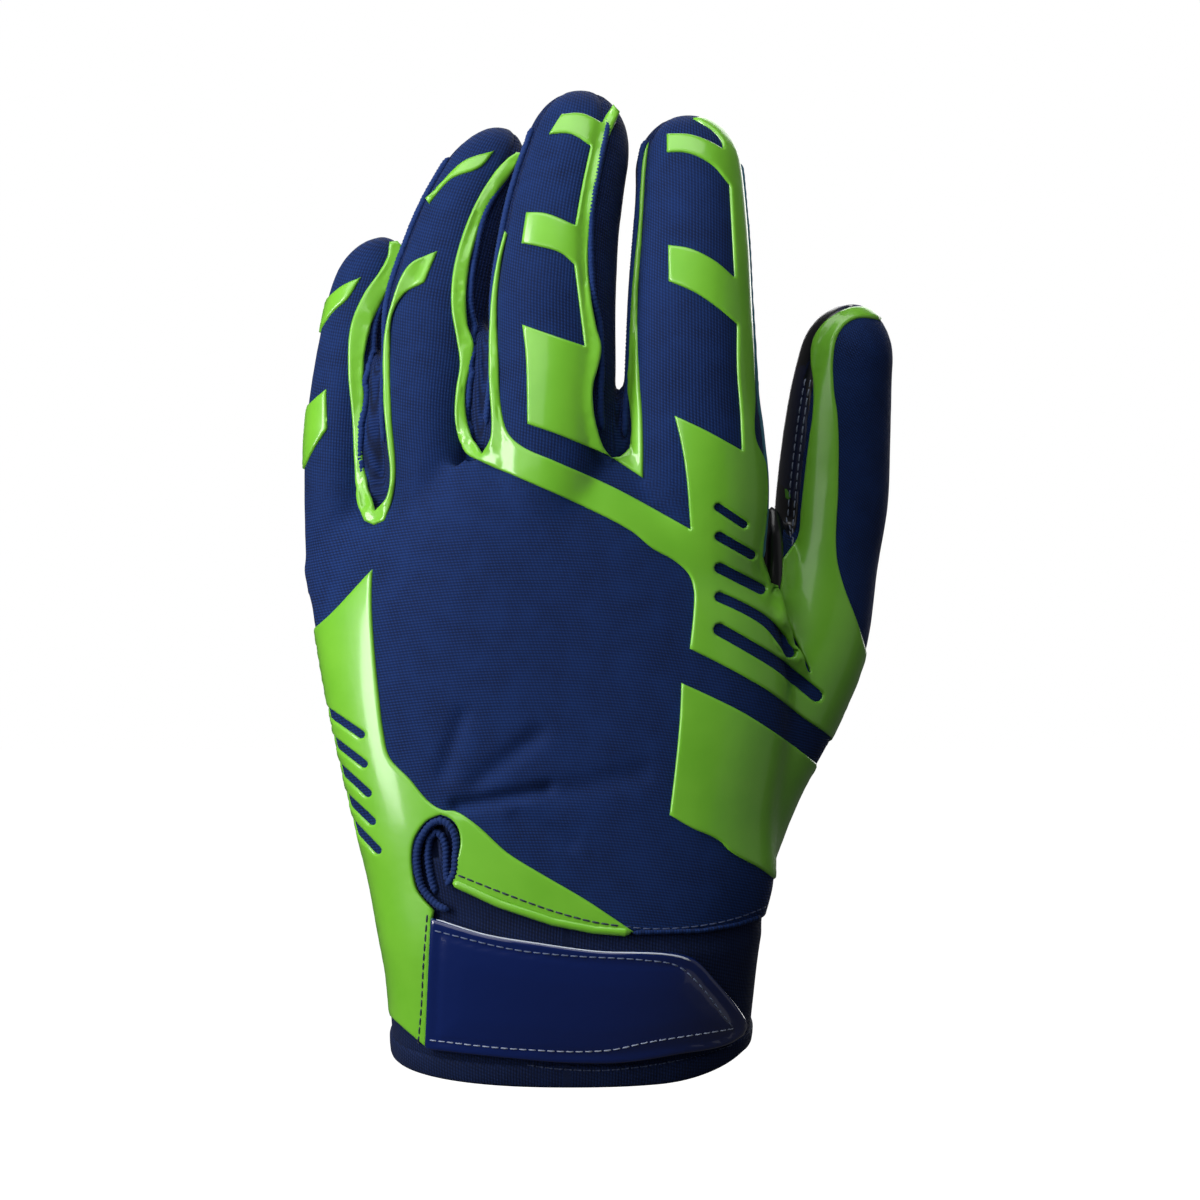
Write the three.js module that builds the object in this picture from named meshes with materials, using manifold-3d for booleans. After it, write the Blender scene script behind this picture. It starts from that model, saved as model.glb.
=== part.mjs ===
// A football receiver glove for the left hand, filled out as a hand fills it.
// Millimetres, +Z towards the fingertips. The back of the hand faces -Y and the thumb points to +X.
// The origin is the middle of the wrist opening, where the hand goes in.
import * as THREE from "three";
import { mergeVertices } from "three/addons/utils/BufferGeometryUtils.js";
import Module from "manifold-3d";

const wasm = await Module();
wasm.setup();

// The hand part.
const PALM_LENGTH = 128; // wrist opening to the web beside the middle finger
const HAND_BREADTH = 100; // across the knuckles
const HAND_THICKNESS = 30;
const WRIST_BREADTH = 77;
const WRIST_THICKNESS = 42;

// Fingers: length from the root inside the hand to the tip, breadth and thickness at the widest row.
const INDEX_LENGTH = 98.7;
const INDEX_BREADTH = 30.8;
const INDEX_THICKNESS = 21.2;
const MIDDLE_LENGTH = 104;
const MIDDLE_BREADTH = 27.8;
const MIDDLE_THICKNESS = 20.4;
const RING_LENGTH = 96.4;
const RING_BREADTH = 23.8;
const RING_THICKNESS = 19.4;
const LITTLE_LENGTH = 76.7;
const LITTLE_BREADTH = 16.2;
const LITTLE_THICKNESS = 16;
const THUMB_LENGTH = 126.7;
const THUMB_BREADTH = 28;
const THUMB_THICKNESS = 29;

// Cloth, film, cuff and strap.
const WALL = 1.3; // knit and palm cloth
const SEAM_GAP = 0.3; // between pieces that meet
const FILM_THICKNESS = 0.6; // glossy film raised on the back
const CUFF_HEIGHT = 30; // wrist opening to the lower edge of the back panel
const HEM_HEIGHT = 4.5;
const HEM_BULGE = 0.6; // the folded hem stands this far out of the cuff
const STRAP_THICKNESS = 1.2;
const BACKING_THICKNESS = 0.8; // hook tape under the strap
const BACKING_INSET = 0.9;
const BINDING_WIDTH = 1.2; // bound edge of the vent
const BINDING_BULGE = 0.9;
const GUSSET_THICKNESS = 1;
const GUSSET_MARGIN = 2.5; // the gusset runs on under the panel round the vent
const WEB_WIDTH = 7; // side wall cloth that crosses the bottom of each gap between fingers
const WEB_DEPTH = 8;
const WEB_REACH = 7; // how far it runs back from the middle of the hand's thickness

// How finely the faceted surfaces are cut.
const FINGER_SIDES = 12;
const BODY_SIDES = 28;
const SHAFT_STATIONS = [0.2, 0.42, 0.62, 0.78]; // shares of a finger's length
const DOME_STEPS = [0, 0.7]; // stations on a fingertip, as shares of its dome
const WEDGE_SIDES = 6;
const SEAM_REACH = 1; // panel blocks reach this far out of the cloth

// The hand from the wrist up. up: share of PALM_LENGTH. shift: centre, share of HAND_BREADTH. widen and thin:
// 0 is the wrist's size and 1 the hand's. back: centre, share of HAND_THICKNESS. arch: how far the edge on the
// little finger's side lies back, share of HAND_THICKNESS. tilt: degrees that the section leans down in front.
const BODY_ROWS = [
  { up: 0.0, shift: -0.008, widen: -0.03, thin: 0.0, back: 0.0, arch: 0.0, tilt: 20 },
  { up: 0.125, shift: -0.007, widen: 0.08, thin: 0.08, back: -0.15, arch: 0.0, tilt: 17 },
  { up: 0.21, shift: -0.009, widen: 0.23, thin: 0.17, back: -0.23, arch: 0.0, tilt: 13 },
  { up: 0.29, shift: -0.006, widen: 0.42, thin: 0.33, back: -0.28, arch: 0.02, tilt: 9 },
  { up: 0.39, shift: -0.024, widen: 0.55, thin: 0.5, back: -0.32, arch: 0.05, tilt: 5 },
  { up: 0.57, shift: -0.034, widen: 0.93, thin: 0.67, back: -0.33, arch: 0.12, tilt: 1 },
  { up: 0.71, shift: -0.06, widen: 0.99, thin: 0.75, back: -0.32, arch: 0.25, tilt: 0 },
  { up: 0.805, shift: -0.081, widen: 0.96, thin: 0.92, back: -0.32, arch: 0.4, tilt: 0 },
  { up: 0.906, shift: -0.094, widen: 0.91, thin: 1.42, back: -0.35, arch: 0.5, tilt: 0 },
  { up: 1.0, shift: -0.09, widen: 0.6, thin: 2.33, back: -0.4, arch: 0.55, tilt: 0 },
];
const BODY_SQUARENESS = 0.86; // 1 is an ellipse, lower is boxier
const THUMB_SIDE_ARCH = 0.25; // the edge on the thumb's side lies back this share of the other edge's arch

// Height of the web along the hand. across: share of HAND_BREADTH. drop: share of PALM_LENGTH.
const WEB_ROWS = [
  { across: -0.6, drop: 0.14 },
  { across: -0.43, drop: 0.096 },
  { across: -0.3, drop: 0.03 },
  { across: -0.196, drop: 0.0 },
  { across: 0.08, drop: 0.008 },
  { across: 0.3, drop: 0.05 },
  { across: 0.45, drop: 0.12 },
];
const WEB_START = 0.75; // below this share of the palm the sections are level from side to side

// Each finger stands on its root: across and back are shares of HAND_BREADTH and HAND_THICKNESS, up a share of
// PALM_LENGTH. rows: up, across and back are shares of the finger's length from the root; breadth and thick are
// shares of its own; left and right are the seams of the back panel, in degrees round the finger from the back
// of the hand, thumb side positive. cap: where the tip's dome starts, share of the length. palmRight and
// palmLeft: the seams of the palm panel, in the same degrees.
const FINGERS = {
  index: {
    length: INDEX_LENGTH,
    breadth: INDEX_BREADTH,
    thickness: INDEX_THICKNESS,
    root: { across: 0.23, up: 0.797, back: -0.33 },
    cap: 0.89,
    palmRight: 96,
    palmLeft: 238,
    rows: [
      { up: 0.0, across: 0.0, back: 0.0, breadth: 0.92, thick: 0.9, left: -60, right: 96 },
      { up: 0.16, across: 0.014, back: -0.01, breadth: 0.985, thick: 0.98, left: -60, right: 96 },
      { up: 0.27, across: 0.02, back: -0.011, breadth: 1.0, thick: 1.0, left: -60, right: 96 },
      { up: 0.38, across: 0.013, back: -0.004, breadth: 0.95, thick: 0.98, left: -62, right: 96 },
      { up: 0.49, across: 0.011, back: 0.01, breadth: 0.915, thick: 0.97, left: -62, right: 96 },
      { up: 0.6, across: 0.011, back: 0.036, breadth: 0.877, thick: 0.95, left: -60, right: 96 },
      { up: 0.71, across: 0.013, back: 0.07, breadth: 0.834, thick: 0.925, left: -60, right: 96 },
      { up: 0.82, across: 0.013, back: 0.115, breadth: 0.78, thick: 0.88, left: -57, right: 96 },
      { up: 0.905, across: 0.015, back: 0.158, breadth: 0.734, thick: 0.82, left: -55, right: 96 },
      { up: 1.0, across: 0.017, back: 0.215, breadth: 0.69, thick: 0.755, left: -45, right: 96 },
    ],
  },
  middle: {
    length: MIDDLE_LENGTH,
    breadth: MIDDLE_BREADTH,
    thickness: MIDDLE_THICKNESS,
    root: { across: -0.065, up: 0.797, back: -0.44 },
    cap: 0.885,
    palmRight: 122,
    palmLeft: 238,
    rows: [
      { up: 0.0, across: 0.0, back: 0.0, breadth: 0.885, thick: 0.93, left: -76, right: 78 },
      { up: 0.17, across: 0.003, back: -0.006, breadth: 0.928, thick: 0.98, left: -76, right: 78 },
      { up: 0.32, across: 0.011, back: -0.002, breadth: 0.957, thick: 0.98, left: -74, right: 48 },
      { up: 0.42, across: 0.02, back: 0.008, breadth: 0.982, thick: 1.0, left: -70, right: 42 },
      { up: 0.5, across: 0.022, back: 0.02, breadth: 0.99, thick: 1.0, left: -68, right: 40 },
      { up: 0.57, across: 0.024, back: 0.032, breadth: 1.0, thick: 1.0, left: -65, right: 31 },
      { up: 0.71, across: 0.04, back: 0.075, breadth: 0.95, thick: 0.97, left: -62, right: 24 },
      { up: 0.8, across: 0.057, back: 0.114, breadth: 0.914, thick: 0.92, left: -60, right: 24 },
      { up: 0.88, across: 0.075, back: 0.16, breadth: 0.85, thick: 0.86, left: -58, right: 26 },
      { up: 1.0, across: 0.088, back: 0.245, breadth: 0.78, thick: 0.78, left: -45, right: 38 },
    ],
  },
  ring: {
    length: RING_LENGTH,
    breadth: RING_BREADTH,
    thickness: RING_THICKNESS,
    root: { across: -0.3, up: 0.797, back: -0.21 },
    cap: 0.885,
    palmRight: 108,
    palmLeft: 220,
    rows: [
      { up: 0.0, across: 0.0, back: 0.0, breadth: 0.807, thick: 0.93, left: -76, right: 62 },
      { up: 0.14, across: -0.003, back: -0.003, breadth: 0.815, thick: 0.98, left: -76, right: 62 },
      { up: 0.24, across: -0.005, back: 0.004, breadth: 0.823, thick: 1.0, left: -76, right: 60 },
      { up: 0.35, across: -0.009, back: 0.019, breadth: 0.882, thick: 1.0, left: -74, right: 48 },
      { up: 0.49, across: 0.003, back: 0.05, breadth: 0.958, thick: 1.0, left: -70, right: 43 },
      { up: 0.59, across: 0.011, back: 0.079, breadth: 1.0, thick: 0.99, left: -68, right: 26 },
      { up: 0.73, across: 0.044, back: 0.135, breadth: 0.903, thick: 0.95, left: -66, right: 21 },
      { up: 0.81, across: 0.07, back: 0.175, breadth: 0.832, thick: 0.91, left: -66, right: 24 },
      { up: 0.905, across: 0.112, back: 0.23, breadth: 0.748, thick: 0.83, left: -64, right: 36 },
      { up: 1.0, across: 0.158, back: 0.3, breadth: 0.672, thick: 0.74, left: -50, right: 44 },
    ],
  },
  little: {
    length: LITTLE_LENGTH,
    breadth: LITTLE_BREADTH,
    thickness: LITTLE_THICKNESS,
    root: { across: -0.5, up: 0.766, back: 0.1 },
    cap: 0.87,
    palmRight: 96,
    palmLeft: 258,
    rows: [
      { up: 0.0, across: 0.0, back: 0.0, breadth: 0.963, thick: 0.94, left: -102, right: 48 },
      { up: 0.18, across: -0.004, back: 0.022, breadth: 0.98, thick: 1.0, left: -102, right: 48 },
      { up: 0.33, across: -0.004, back: 0.04, breadth: 1.0, thick: 1.0, left: -102, right: 40 },
      { up: 0.46, across: 0.0, back: 0.06, breadth: 1.0, thick: 1.0, left: -102, right: 37 },
      { up: 0.6, across: 0.012, back: 0.09, breadth: 0.95, thick: 0.99, left: -102, right: 38 },
      { up: 0.74, across: 0.038, back: 0.133, breadth: 0.957, thick: 0.975, left: -102, right: 24 },
      { up: 0.86, across: 0.068, back: 0.18, breadth: 0.963, thick: 0.94, left: -102, right: 31 },
      { up: 1.0, across: 0.133, back: 0.26, breadth: 0.9, thick: 0.875, left: -95, right: 36 },
    ],
  },
  thumb: {
    length: THUMB_LENGTH,
    breadth: THUMB_BREADTH,
    thickness: THUMB_THICKNESS,
    root: { across: 0.26, up: 0.266, back: -0.08 },
    cap: 0.91,
    palmRight: 104,
    palmLeft: 322,
    rows: [
      { up: 0.0, across: 0.0, back: 0.0, breadth: 0.95, thick: 0.97, left: -38, right: 104 },
      { up: 0.126, across: 0.047, back: 0.018, breadth: 0.95, thick: 1.0, left: -38, right: 104 },
      { up: 0.213, across: 0.09, back: 0.04, breadth: 0.9, thick: 1.0, left: -38, right: 104 },
      { up: 0.304, across: 0.142, back: 0.063, breadth: 0.89, thick: 0.93, left: -38, right: 104 },
      { up: 0.426, across: 0.196, back: 0.095, breadth: 0.87, thick: 0.83, left: -38, right: 104 },
      { up: 0.564, across: 0.221, back: 0.118, breadth: 0.83, thick: 0.76, left: -38, right: 104 },
      { up: 0.665, across: 0.233, back: 0.126, breadth: 0.875, thick: 0.76, left: -38, right: 104 },
      { up: 0.767, across: 0.241, back: 0.126, breadth: 0.84, thick: 0.745, left: -38, right: 104 },
      { up: 0.85, across: 0.249, back: 0.122, breadth: 0.786, thick: 0.71, left: -38, right: 104 },
      { up: 0.91, across: 0.258, back: 0.118, breadth: 0.73, thick: 0.66, left: -36, right: 104 },
      { up: 1.0, across: 0.276, back: 0.11, breadth: 0.68, thick: 0.61, left: -30, right: 100 },
    ],
  },
};

const lerp = THREE.MathUtils.lerp;
const radians = THREE.MathUtils.degToRad;

// Smooth reading of one column of a table, between its rows.
function read(rows, key, column, at) {
  let i = 0;
  while (i < rows.length - 2 && at > rows[i + 1][key]) i++;
  const a = rows[i];
  const b = rows[i + 1];
  const before = rows[Math.max(0, i - 1)];
  const after = rows[Math.min(rows.length - 1, i + 2)];
  const span = b[key] - a[key];
  const s = THREE.MathUtils.clamp((at - a[key]) / span, 0, 1);
  const slopeA = (b[column] - before[column]) / (b[key] - before[key]);
  const slopeB = (after[column] - a[column]) / (after[key] - a[key]);
  const s2 = s * s;
  const s3 = s2 * s;
  return (
    (2 * s3 - 3 * s2 + 1) * a[column] +
    (s3 - 2 * s2 + s) * span * slopeA +
    (3 * s2 - 2 * s3) * b[column] +
    (s3 - s2) * span * slopeB
  );
}

// A solid from points and the corners of its triangles, turned so that its faces point out.
function solidOf(points, faces) {
  const volume = faces.reduce(
    (sum, [a, b, c]) => sum + points[a].dot(points[b].clone().cross(points[c])),
    0,
  );
  const turned = volume < 0 ? faces.map(([a, b, c]) => [a, c, b]) : faces;
  const vertProperties = new Float32Array(points.flatMap((p) => p.toArray()));
  const triVerts = new Uint32Array(turned.flat());
  return new wasm.Manifold(new wasm.Mesh({ numProp: 3, vertProperties, triVerts }));
}

// A solid from a three.js geometry.
function geometrySolid(geometry) {
  geometry.deleteAttribute("normal");
  geometry.deleteAttribute("uv");
  const merged = mergeVertices(geometry, 1e-4);
  const place = merged.getAttribute("position");
  const points = Array.from({ length: place.count }, (_, i) =>
    new THREE.Vector3().fromBufferAttribute(place, i),
  );
  const corners = Array.from(merged.index.array);
  const faces = Array.from({ length: corners.length / 3 }, (_, i) => corners.slice(3 * i, 3 * i + 3));
  return solidOf(points, faces);
}

// The triangles between rings of as many points each; the last ring joins the first where they close.
function ringFaces(ringCount, sides, closed) {
  const faces = [];
  for (let r = 0; r < (closed ? ringCount : ringCount - 1); r++) {
    for (let k = 0; k < sides; k++) {
      const next = (k + 1) % sides;
      const above = ((r + 1) % ringCount) * sides;
      faces.push([r * sides + k, r * sides + next, above + next]);
      faces.push([r * sides + k, above + next, above + k]);
    }
  }
  return faces;
}

// A solid through rings of points, with a fan over each end.
function loft(rings, ends = []) {
  const sides = rings[0].length;
  const points = rings.flat();
  const faces = ringFaces(rings.length, sides, false);
  [rings[0], rings.at(-1)].forEach((ring, end) => {
    const sum = ring.reduce((total, p) => total.add(p), new THREE.Vector3());
    const start = end * (rings.length - 1) * sides;
    for (let k = 0; k < sides; k++) {
      const a = start + k;
      const b = start + ((k + 1) % sides);
      faces.push(end ? [a, b, points.length] : [b, a, points.length]);
    }
    points.push(ends[end] ?? sum.divideScalar(sides));
  });
  return solidOf(points, faces);
}

// A solid through rings that run out along one side and back along the other, where points whose numbers add
// up to fold face each other; its ends are strips between the facing points.
function foldedLoft(rings, fold) {
  const round = rings[0].length;
  const last = (rings.length - 1) * round;
  const faces = ringFaces(rings.length, round, false);
  for (let k = 0; k < Math.floor(fold / 2); k++) {
    const facing = (fold - k) % round;
    const corners = [[k + 1, k, fold - k - 1], [k, facing, fold - k - 1]];
    for (const [p, q, r] of corners.filter((corner) => new Set(corner).size === 3)) {
      faces.push([p, q, r], [last + p, last + r, last + q]);
    }
  }
  return solidOf(rings.flat(), faces);
}

const union = (solids) => solids.reduce((a, b) => a.add(b));
const largest = (solid) => solid.decompose().reduce((a, b) => (b.volume() > a.volume() ? b : a));

// Angles all round a section.
function around(sides) {
  return Array.from({ length: sides }, (_, k) => (2 * Math.PI * k) / sides);
}

// The hand without its fingers.
function webDrop(x) {
  return read(WEB_ROWS, "across", "drop", x / HAND_BREADTH) * PALM_LENGTH;
}

// A point on the section at a height. Angle 0 is on the back of the hand and grows towards the thumb; grow
// moves the point out of the cloth, and thickness 0 lays it on the section's middle.
function bodyPoint(up, angle, grow, thickness = 1) {
  const column = (name) => read(BODY_ROWS, "up", name, up);
  const bend = (v) => Math.sign(v) * Math.abs(v) ** BODY_SQUARENESS;
  const halfBreadth = lerp(WRIST_BREADTH, HAND_BREADTH, column("widen")) / 2 + grow;
  const halfThickness = lerp(WRIST_THICKNESS, HAND_THICKNESS, column("thin")) / 2 + grow;
  const across = bend(Math.sin(angle));
  const x = column("shift") * HAND_BREADTH + halfBreadth * across;
  const side = across > 0 ? THUMB_SIDE_ARCH : 1;
  const centre = (column("back") + column("arch") * side * across * across) * HAND_THICKNESS;
  const depth = -thickness * halfThickness * bend(Math.cos(angle));
  const tilt = radians(column("tilt"));
  const fall = Math.max(0, (up - WEB_START) / (1 - WEB_START)) * webDrop(x);
  const crown = up >= 1 ? grow : 0;
  return new THREE.Vector3(
    x,
    centre + depth * Math.cos(tilt),
    up * PALM_LENGTH + depth * Math.sin(tilt) - fall + crown,
  );
}

const CUFF_TOP = CUFF_HEIGHT / PALM_LENGTH;
const HEM_TOP = HEM_HEIGHT / PALM_LENGTH;
const GAP_SHARE = SEAM_GAP / PALM_LENGTH;
const CUFF_STATIONS = [HEM_TOP, 0.125, CUFF_TOP]; // heights of the rings of points, shares of PALM_LENGTH
const BODY_STATIONS = [CUFF_TOP, 0.38, 0.55, 0.72, 0.85, 0.94, 1];
const HAND_STATIONS = [0, ...CUFF_STATIONS, ...BODY_STATIONS.slice(1)];

function bodySolid(grow, stations = HAND_STATIONS) {
  return loft(stations.map((up) => around(BODY_SIDES).map((a) => bodyPoint(up, a, grow))));
}

// A band round the wrist between two heights, from one offset of the cloth to another.
function bodyBand(stations, inner, outer) {
  const walls = [...stations.map((up) => [up, outer]), ...stations.toReversed().map((up) => [up, inner])];
  const rings = walls.map(([up, grow]) => around(BODY_SIDES).map((a) => bodyPoint(up, a, grow)));
  return solidOf(rings.flat(), ringFaces(rings.length, BODY_SIDES, true));
}

// A finger: its middle line, and a point on the section square to that line.
function fingerCentre(finger, up) {
  const { root, length, rows } = finger;
  return new THREE.Vector3(
    root.across * HAND_BREADTH + read(rows, "up", "across", up) * length,
    root.back * HAND_THICKNESS + read(rows, "up", "back", up) * length,
    root.up * PALM_LENGTH + up * length,
  );
}

const TANGENT_STEP = 0.02;
function fingerFrame(finger, up) {
  const low = fingerCentre(finger, Math.max(0, up - TANGENT_STEP));
  const high = fingerCentre(finger, Math.min(1, up + TANGENT_STEP));
  const along = high.sub(low).normalize();
  const right = new THREE.Vector3(1, 0, 0).addScaledVector(along, -along.x).normalize();
  const back = new THREE.Vector3().crossVectors(along, right);
  return { along, right, back };
}

function fingerPoint(finger, up, angle, grow, dome = 1) {
  const { along, right, back } = fingerFrame(finger, up);
  const rise = Math.max(0, up - finger.cap) / (1 - finger.cap);
  const halfBreadth = (read(finger.rows, "up", "breadth", up) * finger.breadth) / 2 + grow;
  const halfThickness = (read(finger.rows, "up", "thick", up) * finger.thickness) / 2 + grow;
  return fingerCentre(finger, up)
    .addScaledVector(right, dome * halfBreadth * Math.sin(angle))
    .addScaledVector(back, -dome * halfThickness * Math.cos(angle))
    .addScaledVector(along, grow * rise);
}

function fingerStations(finger, from = 0) {
  const shaft = SHAFT_STATIONS.filter((up) => up > from);
  const dome = DOME_STEPS.map((step) => lerp(finger.cap, 1, step));
  return [from, ...shaft, ...dome];
}

function domeShare(finger, up) {
  const rise = Math.max(0, up - finger.cap) / (1 - finger.cap);
  return Math.sqrt(Math.max(0, 1 - rise * rise));
}

function fingerSolid(finger, grow) {
  const rings = fingerStations(finger).map((up) =>
    around(FINGER_SIDES).map((a) => fingerPoint(finger, up, a, grow, domeShare(finger, up))),
  );
  return loft(rings, [undefined, fingerPoint(finger, 1, 0, grow, 0)]);
}

// Everything between two seams of a finger, from its middle line out. margin moves both seams apart.
function fingerWedge(finger, from, seamFrom, seamTo, margin) {
  const stations = [...fingerStations(finger, from), 1 + TANGENT_STEP];
  const rings = stations.map((up) => {
    const spread = (2 * margin) / (read(finger.rows, "up", "breadth", up) * finger.breadth);
    const angles = Array.from({ length: WEDGE_SIDES + 1 }, (_, k) =>
      lerp(seamFrom(up) - spread, seamTo(up) + spread, k / WEDGE_SIDES),
    );
    const arc = angles.map((angle) => fingerPoint(finger, up, angle, SEAM_REACH));
    return [fingerCentre(finger, up), ...arc];
  });
  return loft(rings);
}

// The outside and the inside of the hand.
const fingers = Object.values(FINGERS);
const handSolid = (grow) => union([bodySolid(grow), ...fingers.map((f) => fingerSolid(f, grow))]);

const BELOW_WRIST = -0.3; // share of PALM_LENGTH, clear of all the cloth
const belowPanels = bodySolid(HAND_THICKNESS, [BELOW_WRIST, 0, ...CUFF_STATIONS]);
const shell = handSolid(0).subtract(handSolid(-WALL)).subtract(belowPanels);
const nearHand = handSolid(SEAM_GAP);

// Blocks that share the shell out among the panels.
const backLeft = (finger) => (up) => radians(read(finger.rows, "up", "left", up));
const backRight = (finger) => (up) => radians(read(finger.rows, "up", "right", up));
const palmSeam = (degrees) => () => radians(degrees);
const turn = (seam) => (up) => seam(up) + 2 * Math.PI;

function fingerBackBlock(finger, margin, from = 0) {
  return fingerWedge(finger, from, backLeft(finger), backRight(finger), margin);
}

function bodyBackBlock(margin) {
  const spread = (2 * margin) / HAND_THICKNESS;
  const steps = BODY_SIDES / 2;
  const arc = Array.from({ length: steps + 1 }, (_, k) => lerp(-1, 1, k / steps) * (Math.PI / 2 + spread));
  const rings = [-0.1, 0.1, ...BODY_STATIONS].map((up) => {
    const lift = new THREE.Vector3(0, 0, up === 1 ? WEB_DEPTH : 0);
    const front = arc.map((angle) => bodyPoint(up, angle, SEAM_REACH).add(lift));
    const middle = arc.map((angle) => bodyPoint(up, angle, SEAM_REACH, -margin / HAND_THICKNESS).add(lift));
    return [...front, ...middle.slice(1, -1).reverse()];
  });
  return foldedLoft(rings, rings[0].length);
}

// The side walls of two neighbouring fingers, joined across the bottom of the gap between them.
function sideWallBlock({ low, high, across }, margin) {
  const web = PALM_LENGTH - webDrop(across * HAND_BREADTH);
  const from = (finger) => (web - WEB_DEPTH / 2 - margin - finger.root.up * PALM_LENGTH) / finger.length;
  const lowSide = fingerWedge(low, from(low), backRight(low), palmSeam(low.palmRight), margin);
  const highSide = fingerWedge(high, from(high), palmSeam(high.palmLeft), turn(backLeft(high)), margin);
  const width = WEB_WIDTH + 2 * margin;
  const middle = bodyPoint(1, Math.asin(across), 0, 0).y;
  const bottom = new THREE.BoxGeometry(width, 2 * HAND_THICKNESS, WEB_DEPTH + 2 * margin);
  bottom.translate(across * HAND_BREADTH, middle + WEB_REACH + margin - HAND_THICKNESS, web - WEB_DEPTH / 4);
  return union([lowSide, highSide, geometrySolid(bottom)]);
}

const SIDE_WALLS = {
  fourchette_ring_little: { low: FINGERS.little, high: FINGERS.ring, across: -0.43 },
  fourchette_middle_ring: { low: FINGERS.ring, high: FINGERS.middle, across: -0.196 },
  fourchette_index_middle: { low: FINGERS.middle, high: FINGERS.index, across: 0.08 },
};
const THUMB_SEAM = 0.38; // where the back panel gives way to the thumb's own panel, share of its length

const { thumb, ...handFingers } = FINGERS;
const sideWalls = Object.entries(SIDE_WALLS).map(([name, walls]) => ({
  name,
  block: sideWallBlock(walls, 0),
  cleared: sideWallBlock(walls, 0).add(sideWallBlock(walls, SEAM_GAP)),
}));
const clearOfSides = sideWalls.reduce((solid, wall) => solid.subtract(wall.cleared), shell);
const thumbBlock = fingerBackBlock(thumb, 0, THUMB_SEAM);
const nearThumbBlock = thumbBlock.add(
  fingerBackBlock(thumb, SEAM_GAP, THUMB_SEAM - SEAM_GAP / THUMB_LENGTH),
);
const backBlock = (margin) =>
  union([bodyBackBlock(margin), ...fingers.map((finger) => fingerBackBlock(finger, margin))]);

// One named piece of the glove. Specks that the cuts leave beside it are dropped.
const group = new THREE.Group();
function addPiece(name, solid, color, roughness) {
  const mesh = largest(solid).getMesh();
  const position = new Float32Array(mesh.numVert * 3);
  for (let i = 0; i < mesh.numVert; i++) {
    position.set(mesh.vertProperties.subarray(i * mesh.numProp, i * mesh.numProp + 3), i * 3);
  }
  const geometry = new THREE.BufferGeometry();
  geometry.setAttribute("position", new THREE.BufferAttribute(position, 3));
  geometry.setIndex(new THREE.BufferAttribute(mesh.triVerts, 1));
  geometry.computeVertexNormals();
  const piece = new THREE.Mesh(geometry, new THREE.MeshStandardMaterial({ color, roughness }));
  piece.name = name;
  group.add(piece);
}

const NAVY = 0x1b2f66;
const DARK_NAVY = 0x101c40;
const GREEN = 0x6fc23a;
const STRAP_BLUE = 0x0a1f55;
const PALE_BLUE = 0xb9c3d8;

for (const { name, block } of sideWalls) addPiece(name, shell.intersect(block), DARK_NAVY, 0.9);
addPiece("thumb_back", clearOfSides.intersect(thumbBlock), NAVY, 0.9);

// Outlines seen from the back of the hand. On the hand a point is across (share of HAND_BREADTH) and up (share
// of PALM_LENGTH); on a finger it is across (share of its half breadth there) and up (share of its length).
const onHand = (points) => points.map(([across, up]) => [across * HAND_BREADTH, up * PALM_LENGTH]);
function onFinger(finger, points) {
  return points.map(([across, up]) => {
    const halfBreadth = (read(finger.rows, "up", "breadth", up) * finger.breadth) / 2;
    const centre = fingerCentre(finger, up);
    return [centre.x + across * halfBreadth, centre.z];
  });
}

// An outline cut straight through the glove from back to palm.
function through(outline) {
  const shape = new THREE.Shape(outline.map(([x, z]) => new THREE.Vector2(x, z)));
  const block = new THREE.ExtrudeGeometry(shape, { depth: 4 * HAND_THICKNESS, bevelEnabled: false });
  block.rotateX(Math.PI / 2);
  block.translate(0, 2 * HAND_THICKNESS, 0);
  return geometrySolid(block);
}

// The outline moved out by a distance, or in where it is negative.
function offset(outline, distance) {
  const points = outline.map(([x, z]) => new THREE.Vector2(x, z));
  const outward = THREE.ShapeUtils.isClockWise(points) ? -distance : distance;
  return points.map((p, i) => {
    const before = points.at(i - 1);
    const after = points[(i + 1) % points.length];
    const along = after.clone().sub(before).normalize();
    return [p.x + along.y * outward, p.y - along.x * outward];
  });
}

// A layer over the front half of a hand or finger, between two offsets of the cloth.
const FRONT_SHARE = 0.27; // of a section's points, to each side of the back of the hand
function frontLayer(pointAt, stations, sides, inner, outer) {
  const reach = Math.round(sides * FRONT_SHARE);
  const arc = Array.from({ length: 2 * reach + 1 }, (_, k) => (2 * Math.PI * (k - reach)) / sides);
  const rings = stations.map((up) => [
    ...arc.map((angle) => pointAt(up, angle, outer)),
    ...arc.toReversed().map((angle) => pointAt(up, angle, inner)),
  ]);
  return foldedLoft(rings, rings[0].length - 1);
}

const bodyLayer = (inner, outer) => frontLayer(bodyPoint, HAND_STATIONS, BODY_SIDES, inner, outer);
function fingerLayer(finger, inner, outer) {
  const pointAt = (up, angle, grow) => fingerPoint(finger, up, angle, grow, domeShare(finger, up));
  return frontLayer(pointAt, fingerStations(finger), FINGER_SIDES, inner, outer);
}

// The glossy film.
const filmOuter = SEAM_GAP + FILM_THICKNESS;
const filmOn = Object.fromEntries(
  Object.entries(FINGERS).map(([name, finger]) => [name, fingerLayer(finger, 0, filmOuter)]),
);
const filmOnHand = union([bodyLayer(0, filmOuter), ...Object.values(filmOn)]);
const film = (layer, outline) => layer.intersect(through(outline)).subtract(nearHand);

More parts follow.
